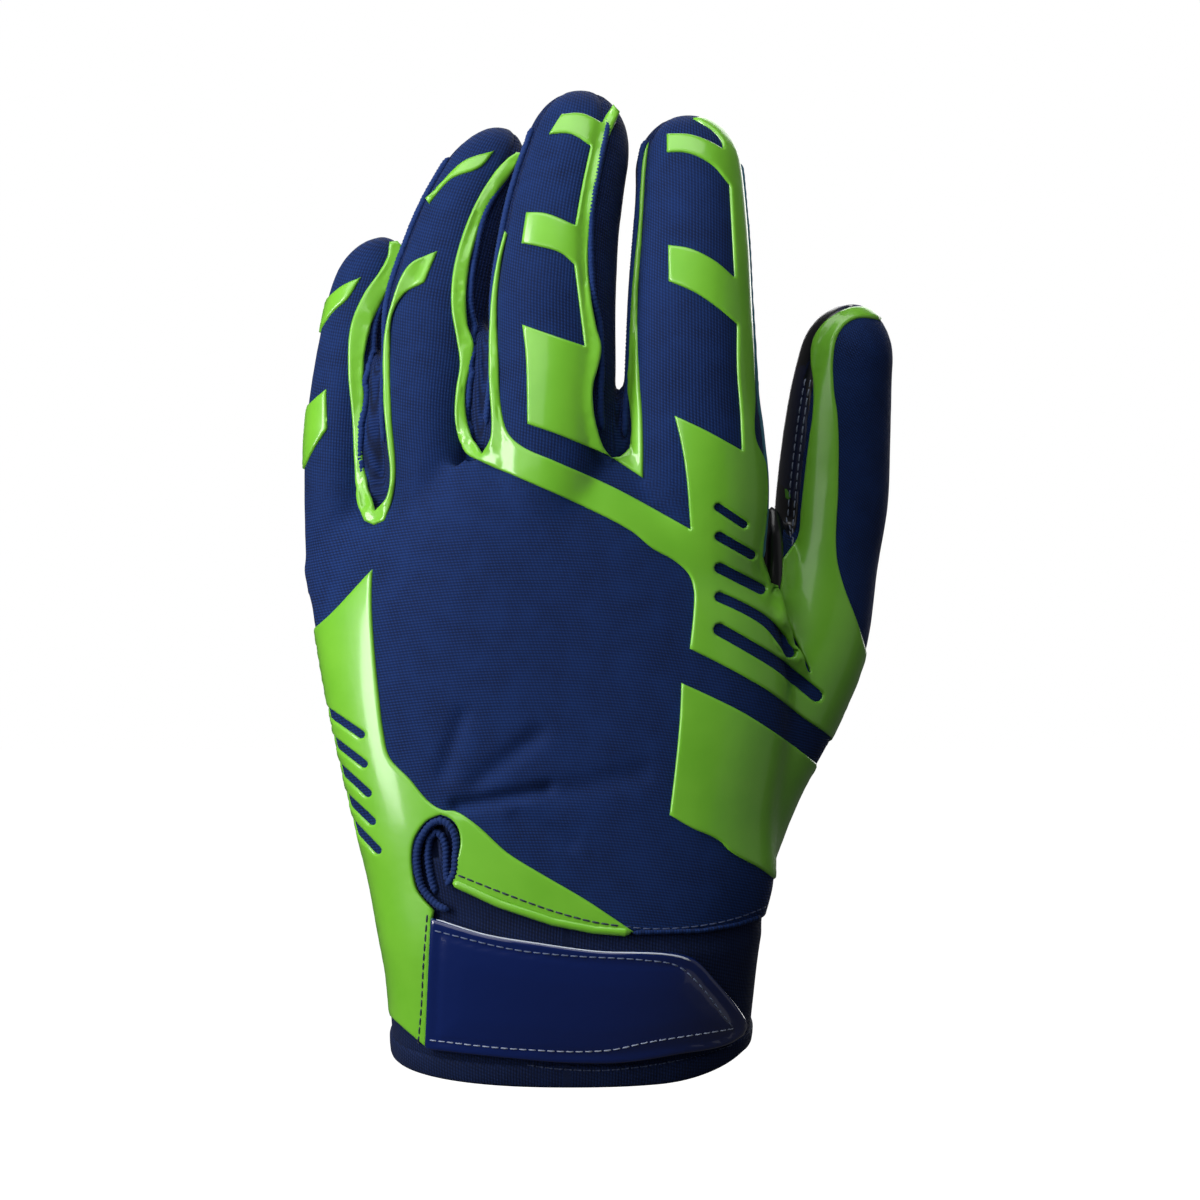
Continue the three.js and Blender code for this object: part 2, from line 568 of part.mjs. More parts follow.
const LITTLE_UPPER_TAB = [
  [-1.2, 0.808], [-0.97, 0.853], [-0.36, 0.898], [-0.46, 0.833], [-0.79, 0.794], [-0.99, 0.724],
];
const LITTLE_LOWER_TAB = [
  [-1.2, 0.53], [-0.55, 0.575], [-0.4, 0.463], [-0.75, 0.399], [-1.02, 0.348], [-1.3, 0.4],
];
const LITTLE_BAND = [
  [0.55, 0.95], [0.6, 0.931], [0.53, 0.858], [0.39, 0.763], [0.45, 0.67], [0.68, 0.558], [0.59, 0.46],
  [0.63, 0.362], [0.75, 0.24], [0.7, 0.2], [0.36, 0.2], [0.36, 0.371], [0.23, 0.497], [-0.01, 0.626],
  [-0.19, 0.755], [-0.06, 0.841], [0.13, 0.945],
];
const LITTLE_RING_WEB = [
  [-0.473, 0.988], [-0.462, 0.9], [-0.449, 0.87], [-0.43, 0.855], [-0.406, 0.87], [-0.391, 0.91],
  [-0.385, 0.966], [-0.396, 0.974], [-0.404, 0.926], [-0.428, 0.905], [-0.443, 0.941], [-0.454, 0.986],
];
const RING_UPPER_TAB = [
  [-1.1, 0.867], [-0.67, 0.928], [-0.04, 0.951], [-0.18, 0.914], [-0.73, 0.887], [-0.95, 0.84],
];
const RING_LOWER_TAB = [
  [-0.95, 0.664], [-0.79, 0.696], [-0.34, 0.722], [-0.41, 0.651], [-0.73, 0.628], [-0.95, 0.57],
];
const RING_BAND = [
  [0.4, 0.934], [0.22, 0.9], [0.12, 0.833], [0.07, 0.744], [0.08, 0.668], [0.2, 0.592], [0.36, 0.525],
  [0.47, 0.47], [0.46, 0.409], [0.51, 0.347], [0.6, 0.3], [0.6, 0.2], [0.95, 0.2], [0.89, 0.285],
  [0.77, 0.336], [0.64, 0.416], [0.69, 0.477], [0.69, 0.512], [0.52, 0.559], [0.41, 0.628], [0.36, 0.695],
  [0.36, 0.777], [0.46, 0.847], [0.64, 0.907], [0.68, 0.93],
];
const MIDDLE_FILM = [
  [0.28, 0.957], [-0.45, 0.951], [-0.62, 0.91], [-0.22, 0.91], [0.17, 0.885], [0.18, 0.807], [0.17, 0.718],
  [-0.35, 0.743], [-0.67, 0.745], [-0.65, 0.681], [-0.31, 0.672], [0, 0.66], [0.22, 0.637], [0.34, 0.569],
  [0.44, 0.472], [-0.5, 0.513], [-0.45, 0.455], [-0.34, 0.309], [0.1, 0.29], [0.9, 0.246], [0.79, 0.297],
  [0.69, 0.342], [0.66, 0.392], [0.7, 0.433], [0.72, 0.468], [0.63, 0.511], [0.52, 0.569], [0.44, 0.641],
  [0.41, 0.724], [0.41, 0.803], [0.43, 0.879], [0.55, 0.945],
];
const INDEX_LEFT_BAND = [
  [-0.83, 0.92], [-0.86, 0.846], [-0.87, 0.679], [-0.89, 0.479], [-0.9, 0.413], [-0.85, 0.359],
  [-0.87, 0.274], [-0.68, 0.274], [-0.68, 0.345], [-0.71, 0.413], [-0.76, 0.513], [-0.76, 0.814],
  [-0.76, 0.92],
];
const INDEX_RIGHT_BAND = [
  [1.2, 0.9], [0.79, 0.923], [0.43, 0.942], [-0.44, 0.955], [-0.42, 0.921], [-0.04, 0.919], [0.43, 0.893],
  [0.74, 0.85], [0.74, 0.746], [0.75, 0.646], [0.44, 0.679], [0.03, 0.707], [-0.34, 0.716], [-0.3, 0.636],
  [0.09, 0.613], [0.44, 0.583], [0.76, 0.544], [0.73, 0.446], [0.72, 0.345], [0.69, 0.269], [0.8, 0.2],
  [1.2, 0.2],
];
const CROSS_BAND = [
  [-0.228, 1.05], [-0.217, 1.011], [-0.196, 0.999], [-0.178, 1.023], [-0.174, 1.05], [-0.159, 1.05],
  [-0.141, 1.033], [-0.088, 1.004], [-0.042, 0.987], [0.077, 0.946], [0.188, 0.899], [0.247, 0.873],
  [0.238, 0.961], [0.213, 1.062], [0.357, 1.025], [0.392, 0.909], [0.412, 0.809], [0.436, 0.736],
  [0.493, 0.627], [0.55, 0.524], [0.491, 0.558], [0.412, 0.605], [0.313, 0.648], [0.245, 0.675],
  [0.254, 0.77], [0.244, 0.797], [0.215, 0.82], [0.166, 0.842], [0.123, 0.868], [0.024, 0.91],
  [-0.107, 0.956], [-0.2, 0.968], [-0.22, 0.975], [-0.246, 1.01],
];
const THUMB_WEB_SLOTS = [
  { half: 0.6, points: [[0.298, 0.914], [0.367, 0.878]] },
  { half: 0.7, points: [[0.299, 0.866], [0.385, 0.827]] },
  { half: 0.8, points: [[0.298, 0.813], [0.402, 0.771]] },
  { half: 0.9, points: [[0.298, 0.764], [0.363, 0.741], [0.412, 0.72], [0.44, 0.703]] },
  { half: 1.0, points: [[0.296, 0.712], [0.363, 0.682], [0.436, 0.647], [0.486, 0.616]] },
];
const HEEL_OUTLINE = [
  [0.227, 0.618], [0.288, 0.596], [0.363, 0.566], [0.461, 0.516], [0.55, 0.465], [0.55, 0.3],
  [0.427, 0.289], [0.398, 0.307], [0.329, 0.339], [0.307, 0.356], [0.202, 0.399], [0.215, 0.485],
  [0.224, 0.562],
];
const OUTER_EDGE_OUTLINE = [
  [-0.432, 0.806], [-0.433, 0.752], [-0.427, 0.675], [-0.417, 0.598], [-0.407, 0.536], [-0.394, 0.495],
  [-0.36, 0.459], [-0.36, 0.25], [-0.33, 0.239], [-0.33, 0.06], [-0.387, 0.05], [-0.45, 0.05],
  [-0.65, 0.655], [-0.57, 0.702], [-0.505, 0.756],
];
const OUTER_EDGE_SLOTS = [
  { half: 0.65, points: [[-0.58, 0.59], [-0.447, 0.528]] },
  { half: 0.65, points: [[-0.58, 0.56], [-0.441, 0.479]] },
  { half: 0.65, points: [[-0.58, 0.53], [-0.433, 0.43]] },
  { half: 0.65, points: [[-0.58, 0.491], [-0.424, 0.383]] },
  { half: 0.65, points: [[-0.58, 0.46], [-0.412, 0.334]] },
];
const THUMB_FILM = [
  [0.26, 0.95], [-0.19, 0.945], [-0.3, 0.91], [-0.17, 0.852], [-0.05, 0.813], [0.07, 0.689],
  [0.21, 0.565], [0.43, 0.514], [0.72, 0.463], [1.07, 0.4], [0.13, 0.373], [-0.78, 0.517],
  [-0.81, 0.565], [-0.69, 0.58], [-0.6, 0.604], [-0.6, 0.813], [-0.6, 0.863], [-0.62, 0.899],
  [-0.51, 0.945],
];

// A slot along a line of points, with a half width in millimetres and pointed ends.
function slot({ half, points }) {
  const line = onHand(points).map(([x, z]) => new THREE.Vector2(x, z));
  const along = line.at(-1).clone().sub(line[0]).normalize();
  const side = new THREE.Vector2(-along.y, along.x).multiplyScalar(half);
  const inner = line.slice(0, -1).map((p, i) => (i ? p : p.clone().addScaledVector(along, half)));
  const end = line.at(-1).clone().addScaledVector(along, -half);
  const upper = [...inner, end].map((p) => p.clone().add(side));
  const lower = [...inner, end].map((p) => p.clone().sub(side));
  return through([line[0], ...upper, line.at(-1), ...lower.toReversed()].map((p) => [p.x, p.y]));
}
const cutSlots = (solid, slots) => slots.reduce((left, each) => left.subtract(slot(each)), solid);

const { index, middle, ring, little } = FINGERS;
const nearThumbFilm = through(offset(onFinger(thumb, THUMB_FILM), SEAM_GAP));
const films = {
  film_little_upper: film(filmOn.little, onFinger(little, LITTLE_UPPER_TAB)),
  film_little_lower: film(filmOn.little, onFinger(little, LITTLE_LOWER_TAB)),
  film_little_band: film(filmOn.little, onFinger(little, LITTLE_BAND)),
  film_little_ring: film(bodyLayer(0, filmOuter).add(filmOn.ring), onHand(LITTLE_RING_WEB)),
  film_ring_upper: film(filmOn.ring, onFinger(ring, RING_UPPER_TAB)),
  film_ring_lower: film(filmOn.ring, onFinger(ring, RING_LOWER_TAB)),
  film_middle: film(filmOn.middle, onFinger(middle, MIDDLE_FILM)),
  film_index_left: film(filmOn.index, onFinger(index, INDEX_LEFT_BAND)),
  film_ring_band: film(filmOn.ring, onFinger(ring, RING_BAND)),
  film_web: cutSlots(
    union([
      film(filmOn.index, onFinger(index, INDEX_RIGHT_BAND)),
      film(filmOnHand, onHand(CROSS_BAND)),
    ]),
    THUMB_WEB_SLOTS,
  ).subtract(nearThumbFilm),
  film_heel: film(filmOnHand, onHand(HEEL_OUTLINE)),
  film_outer_edge: cutSlots(film(filmOnHand, onHand(OUTER_EDGE_OUTLINE)), OUTER_EDGE_SLOTS),
  film_thumb: film(filmOn.thumb, onFinger(thumb, THUMB_FILM)),
};
for (const [name, solid] of Object.entries(films)) addPiece(name, solid, GREEN, 0.3);

// The vent: a bound keyhole in the back panel over a pleated gusset.
const VENT = onHand([
  [-0.284, 0.398], [-0.26, 0.39], [-0.245, 0.375], [-0.243, 0.356], [-0.247, 0.338], [-0.254, 0.317],
  [-0.262, 0.295], [-0.275, 0.275], [-0.3, 0.265], [-0.322, 0.275], [-0.335, 0.3], [-0.34, 0.333],
  [-0.335, 0.356], [-0.327, 0.375], [-0.31, 0.39],
]);
const clothBand = bodyLayer(-WALL, BINDING_BULGE);
const ventBinding = clothBand.intersect(through(VENT)).subtract(through(offset(VENT, -BINDING_WIDTH)));
addPiece("vent_binding", ventBinding, DARK_NAVY, 0.8);
const gussetLayer = bodyLayer(-WALL - SEAM_GAP - GUSSET_THICKNESS, -WALL - SEAM_GAP);
addPiece("vent_gusset", gussetLayer.intersect(through(offset(VENT, GUSSET_MARGIN))), DARK_NAVY, 0.9);

const backPanel = clearOfSides
  .intersect(backBlock(0))
  .subtract(nearThumbBlock)
  .subtract(through(offset(VENT, SEAM_GAP)));
addPiece("back_panel", backPanel, NAVY, 0.9);
const palmPanel = [backBlock(0), backBlock(SEAM_GAP), nearThumbBlock].reduce(
  (left, block) => left.subtract(block),
  clearOfSides,
);
addPiece("palm_panel", palmPanel, DARK_NAVY, 0.35);

// The cuff, its hem and the strap that closes it.
const STRAP_OUTLINE = onHand([
  [-0.3, 0.229], [-0.189, 0.203], [-0.074, 0.188], [0.041, 0.176], [0.243, 0.167], [0.266, 0.159],
  [0.301, 0.132], [0.37, 0.06], [0.376, 0.049], [0.363, 0.029], [0.329, 0.019], [0.214, 0.003],
  [0.099, -0.01], [-0.016, -0.01], [-0.16, -0.001], [-0.31, 0.011],
]);
const cuffStations = [HEM_TOP + GAP_SHARE, ...CUFF_STATIONS.slice(1, -1), CUFF_TOP - GAP_SHARE];
addPiece("cuff_band", bodyBand(cuffStations, -WALL, 0), NAVY, 0.9);
addPiece("hem_binding", bodyBand([0, HEM_TOP], -WALL - HEM_BULGE, HEM_BULGE), NAVY, 0.8);
const backingOuter = SEAM_GAP + BACKING_THICKNESS;
const strapInner = backingOuter + SEAM_GAP;
const backing = bodyLayer(SEAM_GAP, backingOuter).intersect(through(offset(STRAP_OUTLINE, -BACKING_INSET)));
addPiece("hook_backing", backing, PALE_BLUE, 0.9);
const strap = bodyLayer(strapInner, strapInner + STRAP_THICKNESS).intersect(through(STRAP_OUTLINE));
addPiece("closure_strap", strap, STRAP_BLUE, 0.25);

export default group;
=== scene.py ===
# A football receiver glove for the left hand, filled out as a hand fills it, seen from the back of the hand.
import math

import bpy
import numpy as np
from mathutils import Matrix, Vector
from mathutils.bvhtree import BVHTree
from mathutils.kdtree import KDTree
from mathutils.geometry import delaunay_2d_cdt


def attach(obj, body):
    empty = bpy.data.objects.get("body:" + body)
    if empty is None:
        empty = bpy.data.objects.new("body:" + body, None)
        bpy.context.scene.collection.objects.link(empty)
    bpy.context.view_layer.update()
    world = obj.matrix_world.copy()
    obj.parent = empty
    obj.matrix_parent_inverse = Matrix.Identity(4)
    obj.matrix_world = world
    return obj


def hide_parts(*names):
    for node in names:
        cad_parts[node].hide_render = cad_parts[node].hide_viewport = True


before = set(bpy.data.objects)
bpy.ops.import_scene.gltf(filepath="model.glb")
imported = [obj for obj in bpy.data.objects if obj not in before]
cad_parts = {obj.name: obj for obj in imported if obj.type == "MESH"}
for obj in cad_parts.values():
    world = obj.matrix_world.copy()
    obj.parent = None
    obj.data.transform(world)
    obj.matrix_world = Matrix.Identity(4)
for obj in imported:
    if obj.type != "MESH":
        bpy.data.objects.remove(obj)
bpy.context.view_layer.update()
MM = 0.001


# The worn form. A receiver glove is cut flat and takes its shape from the hand inside it, so the form comes
# first: a tapering palm, four fingers and a thumb, each lofted through the same sections as the solid glove,
# joined and softened into one skin that the panels are then cut from.
PALM_LENGTH = 128.0
HAND_BREADTH = 100.0
HAND_THICKNESS = 30.0
WRIST_BREADTH = 77.0
WRIST_THICKNESS = 42.0
SKIN_VOXEL = 0.9

# Columns: up, shift, widen, thin, back, arch, tilt.
PALM_ROWS = np.array([
    (0.0, -0.008, -0.03, 0.0, 0.0, 0.0, 20),
    (0.125, -0.007, 0.08, 0.08, -0.15, 0.0, 17),
    (0.21, -0.009, 0.23, 0.17, -0.23, 0.0, 13),
    (0.29, -0.006, 0.42, 0.33, -0.28, 0.02, 9),
    (0.39, -0.024, 0.55, 0.5, -0.32, 0.05, 5),
    (0.57, -0.034, 0.93, 0.67, -0.33, 0.12, 1),
    (0.71, -0.06, 0.99, 0.75, -0.32, 0.25, 0),
    (0.805, -0.081, 0.96, 0.92, -0.32, 0.4, 0),
    (0.906, -0.094, 0.91, 1.42, -0.35, 0.5, 0),
    (1.0, -0.09, 0.6, 2.33, -0.4, 0.55, 0),
])
PALM_SQUARENESS = 0.86
THUMB_SIDE_ARCH = 0.25

# Columns: across, drop.
WEB_ROWS = np.array([
    (-0.6, 0.14), (-0.43, 0.096), (-0.3, 0.03), (-0.196, 0.0), (0.08, 0.008), (0.3, 0.05), (0.45, 0.12),
])
WEB_START = 0.75

# rows columns: up, across, back, breadth, thick, left seam and right seam in degrees.
FINGERS = {
    "index": dict(length=98.7, breadth=30.8, thickness=21.2, root=(0.23, 0.797, -0.33), cap=0.89,
                  palm_right=96, palm_left=238, rows=np.array([
        (0.0, 0.011, 0.0, 0.99, 0.9, -60, 96),
        (0.16, 0.022, -0.01, 1.035, 0.98, -60, 96),
        (0.27, 0.02, -0.011, 1.0, 1.0, -60, 96),
        (0.38, 0.017, -0.004, 0.93, 0.98, -62, 96),
        (0.49, 0.016, 0.01, 0.895, 0.97, -62, 96),
        (0.6, 0.015, 0.036, 0.86, 0.95, -60, 96),
        (0.71, 0.017, 0.07, 0.818, 0.925, -60, 96),
        (0.82, 0.017, 0.115, 0.765, 0.88, -57, 96),
        (0.905, 0.015, 0.158, 0.734, 0.82, -55, 96),
        (1.0, 0.017, 0.215, 0.69, 0.755, -45, 96)])),
    "middle": dict(length=104.0, breadth=27.8, thickness=20.4, root=(-0.065, 0.797, -0.44), cap=0.885,
                   palm_right=122, palm_left=238, rows=np.array([
        (0.0, 0.0, 0.0, 0.885, 0.93, -76, 78),
        (0.17, 0.003, -0.006, 0.928, 0.98, -76, 78),
        (0.32, 0.011, -0.002, 0.957, 0.98, -74, 48),
        (0.42, 0.018, 0.008, 0.965, 1.0, -70, 42),
        (0.5, 0.018, 0.02, 0.965, 1.0, -68, 40),
        (0.57, 0.018, 0.032, 0.97, 1.0, -65, 31),
        (0.71, 0.032, 0.075, 0.915, 0.97, -62, 24),
        (0.8, 0.049, 0.114, 0.87, 0.92, -60, 24),
        (0.88, 0.067, 0.16, 0.81, 0.86, -58, 26),
        (1.0, 0.08, 0.245, 0.75, 0.78, -45, 38)])),
    "ring": dict(length=96.4, breadth=23.8, thickness=19.4, root=(-0.3, 0.797, -0.21), cap=0.885,
                 palm_right=108, palm_left=220, rows=np.array([
        (0.0, 0.0, 0.0, 0.807, 0.93, -76, 62),
        (0.14, -0.003, -0.003, 0.815, 0.98, -76, 62),
        (0.24, -0.005, 0.004, 0.823, 1.0, -76, 60),
        (0.35, -0.009, 0.019, 0.882, 1.0, -74, 48),
        (0.49, 0.003, 0.05, 0.958, 1.0, -70, 43),
        (0.59, 0.011, 0.079, 1.0, 0.99, -68, 26),
        (0.73, 0.044, 0.135, 0.903, 0.95, -66, 21),
        (0.81, 0.07, 0.175, 0.832, 0.91, -66, 24),
        (0.905, 0.112, 0.23, 0.748, 0.83, -64, 36),
        (1.0, 0.158, 0.3, 0.672, 0.74, -50, 44)])),
    "little": dict(length=76.7, breadth=16.2, thickness=16.0, root=(-0.5, 0.766, 0.1), cap=0.87,
                   palm_right=96, palm_left=258, rows=np.array([
        (0.0, 0.0, 0.0, 0.963, 0.94, -102, 48),
        (0.18, -0.004, 0.022, 0.98, 1.0, -102, 48),
        (0.33, -0.004, 0.04, 1.0, 1.0, -102, 40),
        (0.46, 0.0, 0.06, 1.0, 1.0, -102, 37),
        (0.6, 0.012, 0.09, 0.95, 0.99, -102, 38),
        (0.74, 0.038, 0.133, 0.957, 0.975, -102, 24),
        (0.86, 0.068, 0.18, 0.963, 0.94, -102, 31),
        (1.0, 0.133, 0.26, 0.9, 0.875, -95, 36)])),
    "thumb": dict(length=126.7, breadth=28.0, thickness=29.0, root=(0.26, 0.266, -0.08), cap=0.91,
                  palm_right=104, palm_left=322, rows=np.array([
        (0.0, 0.0, 0.0, 0.95, 0.97, -38, 104),
        (0.126, 0.047, 0.018, 0.95, 1.0, -38, 104),
        (0.213, 0.09, 0.04, 0.9, 1.0, -38, 104),
        (0.304, 0.142, 0.063, 0.89, 0.93, -38, 104),
        (0.426, 0.196, 0.095, 0.87, 0.83, -38, 104),
        (0.564, 0.221, 0.118, 0.83, 0.76, -38, 104),
        (0.665, 0.233, 0.126, 0.875, 0.76, -38, 104),
        (0.767, 0.241, 0.126, 0.84, 0.745, -38, 104),
        (0.85, 0.249, 0.122, 0.786, 0.71, -38, 104),
        (0.91, 0.258, 0.118, 0.73, 0.66, -36, 104),
        (1.0, 0.276, 0.11, 0.68, 0.61, -30, 100)])),
}


def read(rows, column, at):
    """One column of a table, read smoothly between its rows."""
    at = np.clip(np.asarray(at, float), rows[0, 0], rows[-1, 0])
    key, value = rows[:, 0], rows[:, column]
    slope = np.empty_like(value)
    slope[1:-1] = (value[2:] - value[:-2]) / (key[2:] - key[:-2])
    slope[0] = (value[1] - value[0]) / (key[1] - key[0])
    slope[-1] = (value[-1] - value[-2]) / (key[-1] - key[-2])
    i = np.clip(np.searchsorted(key, at, side="right") - 1, 0, len(key) - 2)
    span = key[i + 1] - key[i]
    s = (at - key[i]) / span
    return ((2 * s**3 - 3 * s**2 + 1) * value[i] + (s**3 - 2 * s**2 + s) * span * slope[i]
            + (3 * s**2 - 2 * s**3) * value[i + 1] + (s**3 - s**2) * span * slope[i + 1])


def bend(v):
    """The palm's section is a little squarer than an oval."""
    return np.sign(v) * np.abs(v) ** PALM_SQUARENESS


def palm_section(up):
    """Half the palm's breadth and half its thickness at a share of its length."""
    half_breadth = (WRIST_BREADTH + (HAND_BREADTH - WRIST_BREADTH) * read(PALM_ROWS, 2, up)) / 2
    half_thickness = (WRIST_THICKNESS + (HAND_THICKNESS - WRIST_THICKNESS) * read(PALM_ROWS, 3, up)) / 2
    return half_breadth, half_thickness


def palm_middle(up, across):
    """How far back the middle of the palm's section lies, with its arch."""
    side = np.where(across > 0, THUMB_SIDE_ARCH, 1.0)
    return (read(PALM_ROWS, 4, up) + read(PALM_ROWS, 5, up) * side * across**2) * HAND_THICKNESS


def palm_point(up, angle, grow=0.0):
    """Points in millimetres on the palm's section; angle 0 is the back of the hand, grow moves them out."""
    up, angle = np.broadcast_arrays(np.asarray(up, float), np.asarray(angle, float))
    half_breadth, half_thickness = palm_section(up)
    across = bend(np.sin(angle))
    x = read(PALM_ROWS, 1, up) * HAND_BREADTH + (half_breadth + grow) * across
    depth = -(half_thickness + grow) * bend(np.cos(angle))
    tilt = np.radians(read(PALM_ROWS, 6, up))
    near_web = np.maximum(0, (up - WEB_START) / (1 - WEB_START))
    fall = near_web * read(WEB_ROWS, 1, x / HAND_BREADTH) * PALM_LENGTH
    y = palm_middle(up, across) + depth * np.cos(tilt)
    return np.stack([x, y, up * PALM_LENGTH + depth * np.sin(tilt) - fall], -1)


def finger_centre(finger, up):
    """The middle of a finger at a share of its length."""
    across, height, back = finger["root"]
    return np.stack([across * HAND_BREADTH + read(finger["rows"], 1, up) * finger["length"],
                     back * HAND_THICKNESS + read(finger["rows"], 2, up) * finger["length"],
                     height * PALM_LENGTH + np.asarray(up, float) * finger["length"]], -1)


def finger_frame(finger, up):
    """The directions along a finger, to its right and out of its palm side."""
    step = 0.02
    along = finger_centre(finger, np.minimum(1, up + step)) - finger_centre(finger, np.maximum(0, up - step))
    along /= np.linalg.norm(along, axis=-1, keepdims=True)
    right = np.array([1.0, 0, 0]) - along * along[..., :1]
    right /= np.linalg.norm(right, axis=-1, keepdims=True)
    return along, right, np.cross(along, right)


def finger_halves(finger, up):
    """Half a finger's breadth and half its thickness at a share of its length."""
    return (read(finger["rows"], 3, up) * finger["breadth"] / 2,
            read(finger["rows"], 4, up) * finger["thickness"] / 2)


def finger_point(finger, up, angle):
    """Points in millimetres on the finger's section, which closes to a dome at the tip."""
    up, angle = np.broadcast_arrays(np.asarray(up, float), np.asarray(angle, float))
    _, right, back = finger_frame(finger, up)
    half_breadth, half_thickness = finger_halves(finger, up)
    rise = np.clip((up - finger["cap"]) / (1 - finger["cap"]), 0, 1)
    dome = np.sqrt(1 - rise**2)
    return (finger_centre(finger, up) + right * (dome * half_breadth * np.sin(angle))[..., None]
            - back * (dome * half_thickness * np.cos(angle))[..., None])


def mesh_object(name, points, faces, smooth=True):
    """A Blender object from points in millimetres."""
    mesh = bpy.data.meshes.new(name)
    mesh.from_pydata((np.asarray(points) * MM).tolist(), [], [tuple(int(i) for i in f) for f in faces])
    mesh.update()
    if smooth:
        mesh.shade_smooth()
    piece = bpy.data.objects.new(name, mesh)
    bpy.context.scene.collection.objects.link(piece)
    return piece


def ring_faces(rings, sides, closed=False):
    """The faces between rings of points, of which each has as many sides."""
    faces = []
    for r in range(rings if closed else rings - 1):
        low, high = r * sides, ((r + 1) % rings) * sides
        faces += [(low + k, low + (k + 1) % sides, high + (k + 1) % sides, high + k) for k in range(sides)]
    return faces


def select_only(piece):
    """Make one piece the only selected one."""
    bpy.ops.object.select_all(action="DESELECT")
    piece.select_set(True)
    bpy.context.view_layer.objects.active = piece


def apply_modifier(piece, kind, **settings):
    """Run one modifier on a piece at once."""
    select_only(piece)
    modifier = piece.modifiers.new(kind.title(), kind)
    for key, value in settings.items():
        setattr(modifier, key, value)
    bpy.ops.object.modifier_apply(modifier=modifier.name)


def triangles_of(piece):
    """A piece's points in millimetres and its triangles."""
    mesh = piece.data
    mesh.calc_loop_triangles()
    corners = np.empty(len(mesh.loop_triangles) * 3, np.int32)
    mesh.loop_triangles.foreach_get("vertices", corners)
    points = np.empty(len(mesh.vertices) * 3)
    mesh.vertices.foreach_get("co", points)
    return points.reshape(-1, 3) / MM, corners.reshape(-1, 3)


def capped_faces(rings, sides):
    """The faces of a tube whose two ends are closed."""
    ends = [tuple(range(sides))[::-1], tuple((rings - 1) * sides + k for k in range(sides))]
    return ring_faces(rings, sides) + ends


def tube_form(name, points_at, stations, sides):
    """A closed tube through the sections that points_at(station, angle) gives."""
    angles = np.arange(sides) * 2 * np.pi / sides
    grid = points_at(stations[:, None], angles[None, :])
    return mesh_object(name, grid.reshape(-1, 3), capped_faces(len(stations), sides))


PALM_FORM_START = 0.12
PALM_RINGS = 60
PALM_SIDES = 120
FINGER_RINGS = 50
DOME_RINGS = 12
DOME_END = 0.985
FINGER_SIDES = 60
forms = [tube_form("palm_form", palm_point, np.linspace(PALM_FORM_START, 1, PALM_RINGS), PALM_SIDES)]
for finger_name, finger in FINGERS.items():
    dome = 1 - (1 - finger["cap"]) * (1 - np.sin(np.linspace(0, DOME_END, DOME_RINGS) * np.pi / 2))
    stations = np.concatenate([np.linspace(0, finger["cap"], FINGER_RINGS)[:-1], dome])
    forms.append(tube_form(finger_name + "_form", lambda u, a, f=finger: finger_point(f, u, a),
                           stations, FINGER_SIDES))

# The cloth that bridges the bottom of each gap: where the gap runs (x, z), how far up the cloth fills it,
# and the fingers beside it.
GAP_LINES = {
    "fourchette_ring_little": [
        (-42.7, 115.8), (-42.4, 120.4), (-42.8, 126.8), (-43.0, 134.2), (-41.9, 140.2), (-42.4, 149.4),
        (-41.9, 155.9), (-39.9, 163.8), (-37.2, 169.0), (-36.1, 173.1), (-34.6, 177.4)],
    "fourchette_middle_ring": [
        (-19.7, 127.9), (-20.2, 133.3), (-20.9, 139.8), (-20.2, 145.1), (-19.8, 151.4), (-20.4, 159.1),
        (-20.2, 167.7), (-18.3, 175.7), (-15.5, 183.6), (-11.8, 190.3), (-9.5, 195.0), (-7.5, 198.2)],
    "fourchette_index_middle": [
        (8.0, 126.9), (7.1, 132.9), (6.7, 139.8), (7.1, 146.0), (7.7, 150.7), (7.1, 156.9), (6.7, 163.4),
        (6.7, 174.2), (8.0, 184.9), (9.7, 193.5), (11.8, 202.1)],
}
GAP_FILLED_TO = {"fourchette_ring_little": 150.0, "fourchette_middle_ring": 156.0,
                 "fourchette_index_middle": 144.0}
GAP_FINGERS = {"fourchette_ring_little": ("little", "ring"), "fourchette_middle_ring": ("ring", "middle"),
               "fourchette_index_middle": ("middle", "index")}
GAP_CLOTH_HALF_WIDTH = 2.9
GAP_CLOTH_HALF_DEPTH = 4.6
GAP_CLOTH_FORWARD = 0.2
GAP_CLOTH_FOOT = 6.0
GAP_CLOTH_TAPER = 5.0
GAP_RINGS = 30
GAP_SIDES = 24


def gap_x(name, z):
    """Where the middle of a gap runs at a height."""
    line = np.array(GAP_LINES[name])
    return np.interp(z, line[:, 1], line[:, 0])


def gap_point(name, z, angle):
    """Points on the cloth that fills a gap, an oval standing between the two fingers."""
    z, angle = np.broadcast_arrays(z, angle)
    middle = np.zeros(z.shape)
    for finger_name in GAP_FINGERS[name]:
        finger = FINGERS[finger_name]
        up = np.clip((z - finger["root"][1] * PALM_LENGTH) / finger["length"], 0, 1)
        middle = middle + finger_centre(finger, up)[..., 1] / 2
    rise = np.clip((GAP_FILLED_TO[name] - z) / GAP_CLOTH_TAPER, 0.02, 1) ** 0.5
    return np.stack([gap_x(name, z) + GAP_CLOTH_HALF_WIDTH * rise * np.sin(angle),
                     middle - GAP_CLOTH_FORWARD - GAP_CLOTH_HALF_DEPTH * rise * np.cos(angle), z], -1)


for name, top in GAP_FILLED_TO.items():
    bottom = GAP_LINES[name][0][1] - GAP_CLOTH_FOOT
    forms.append(tube_form(name + "_form", lambda z, a, n=name: gap_point(n, z, a),
                           np.linspace(bottom, top, GAP_RINGS), GAP_SIDES))
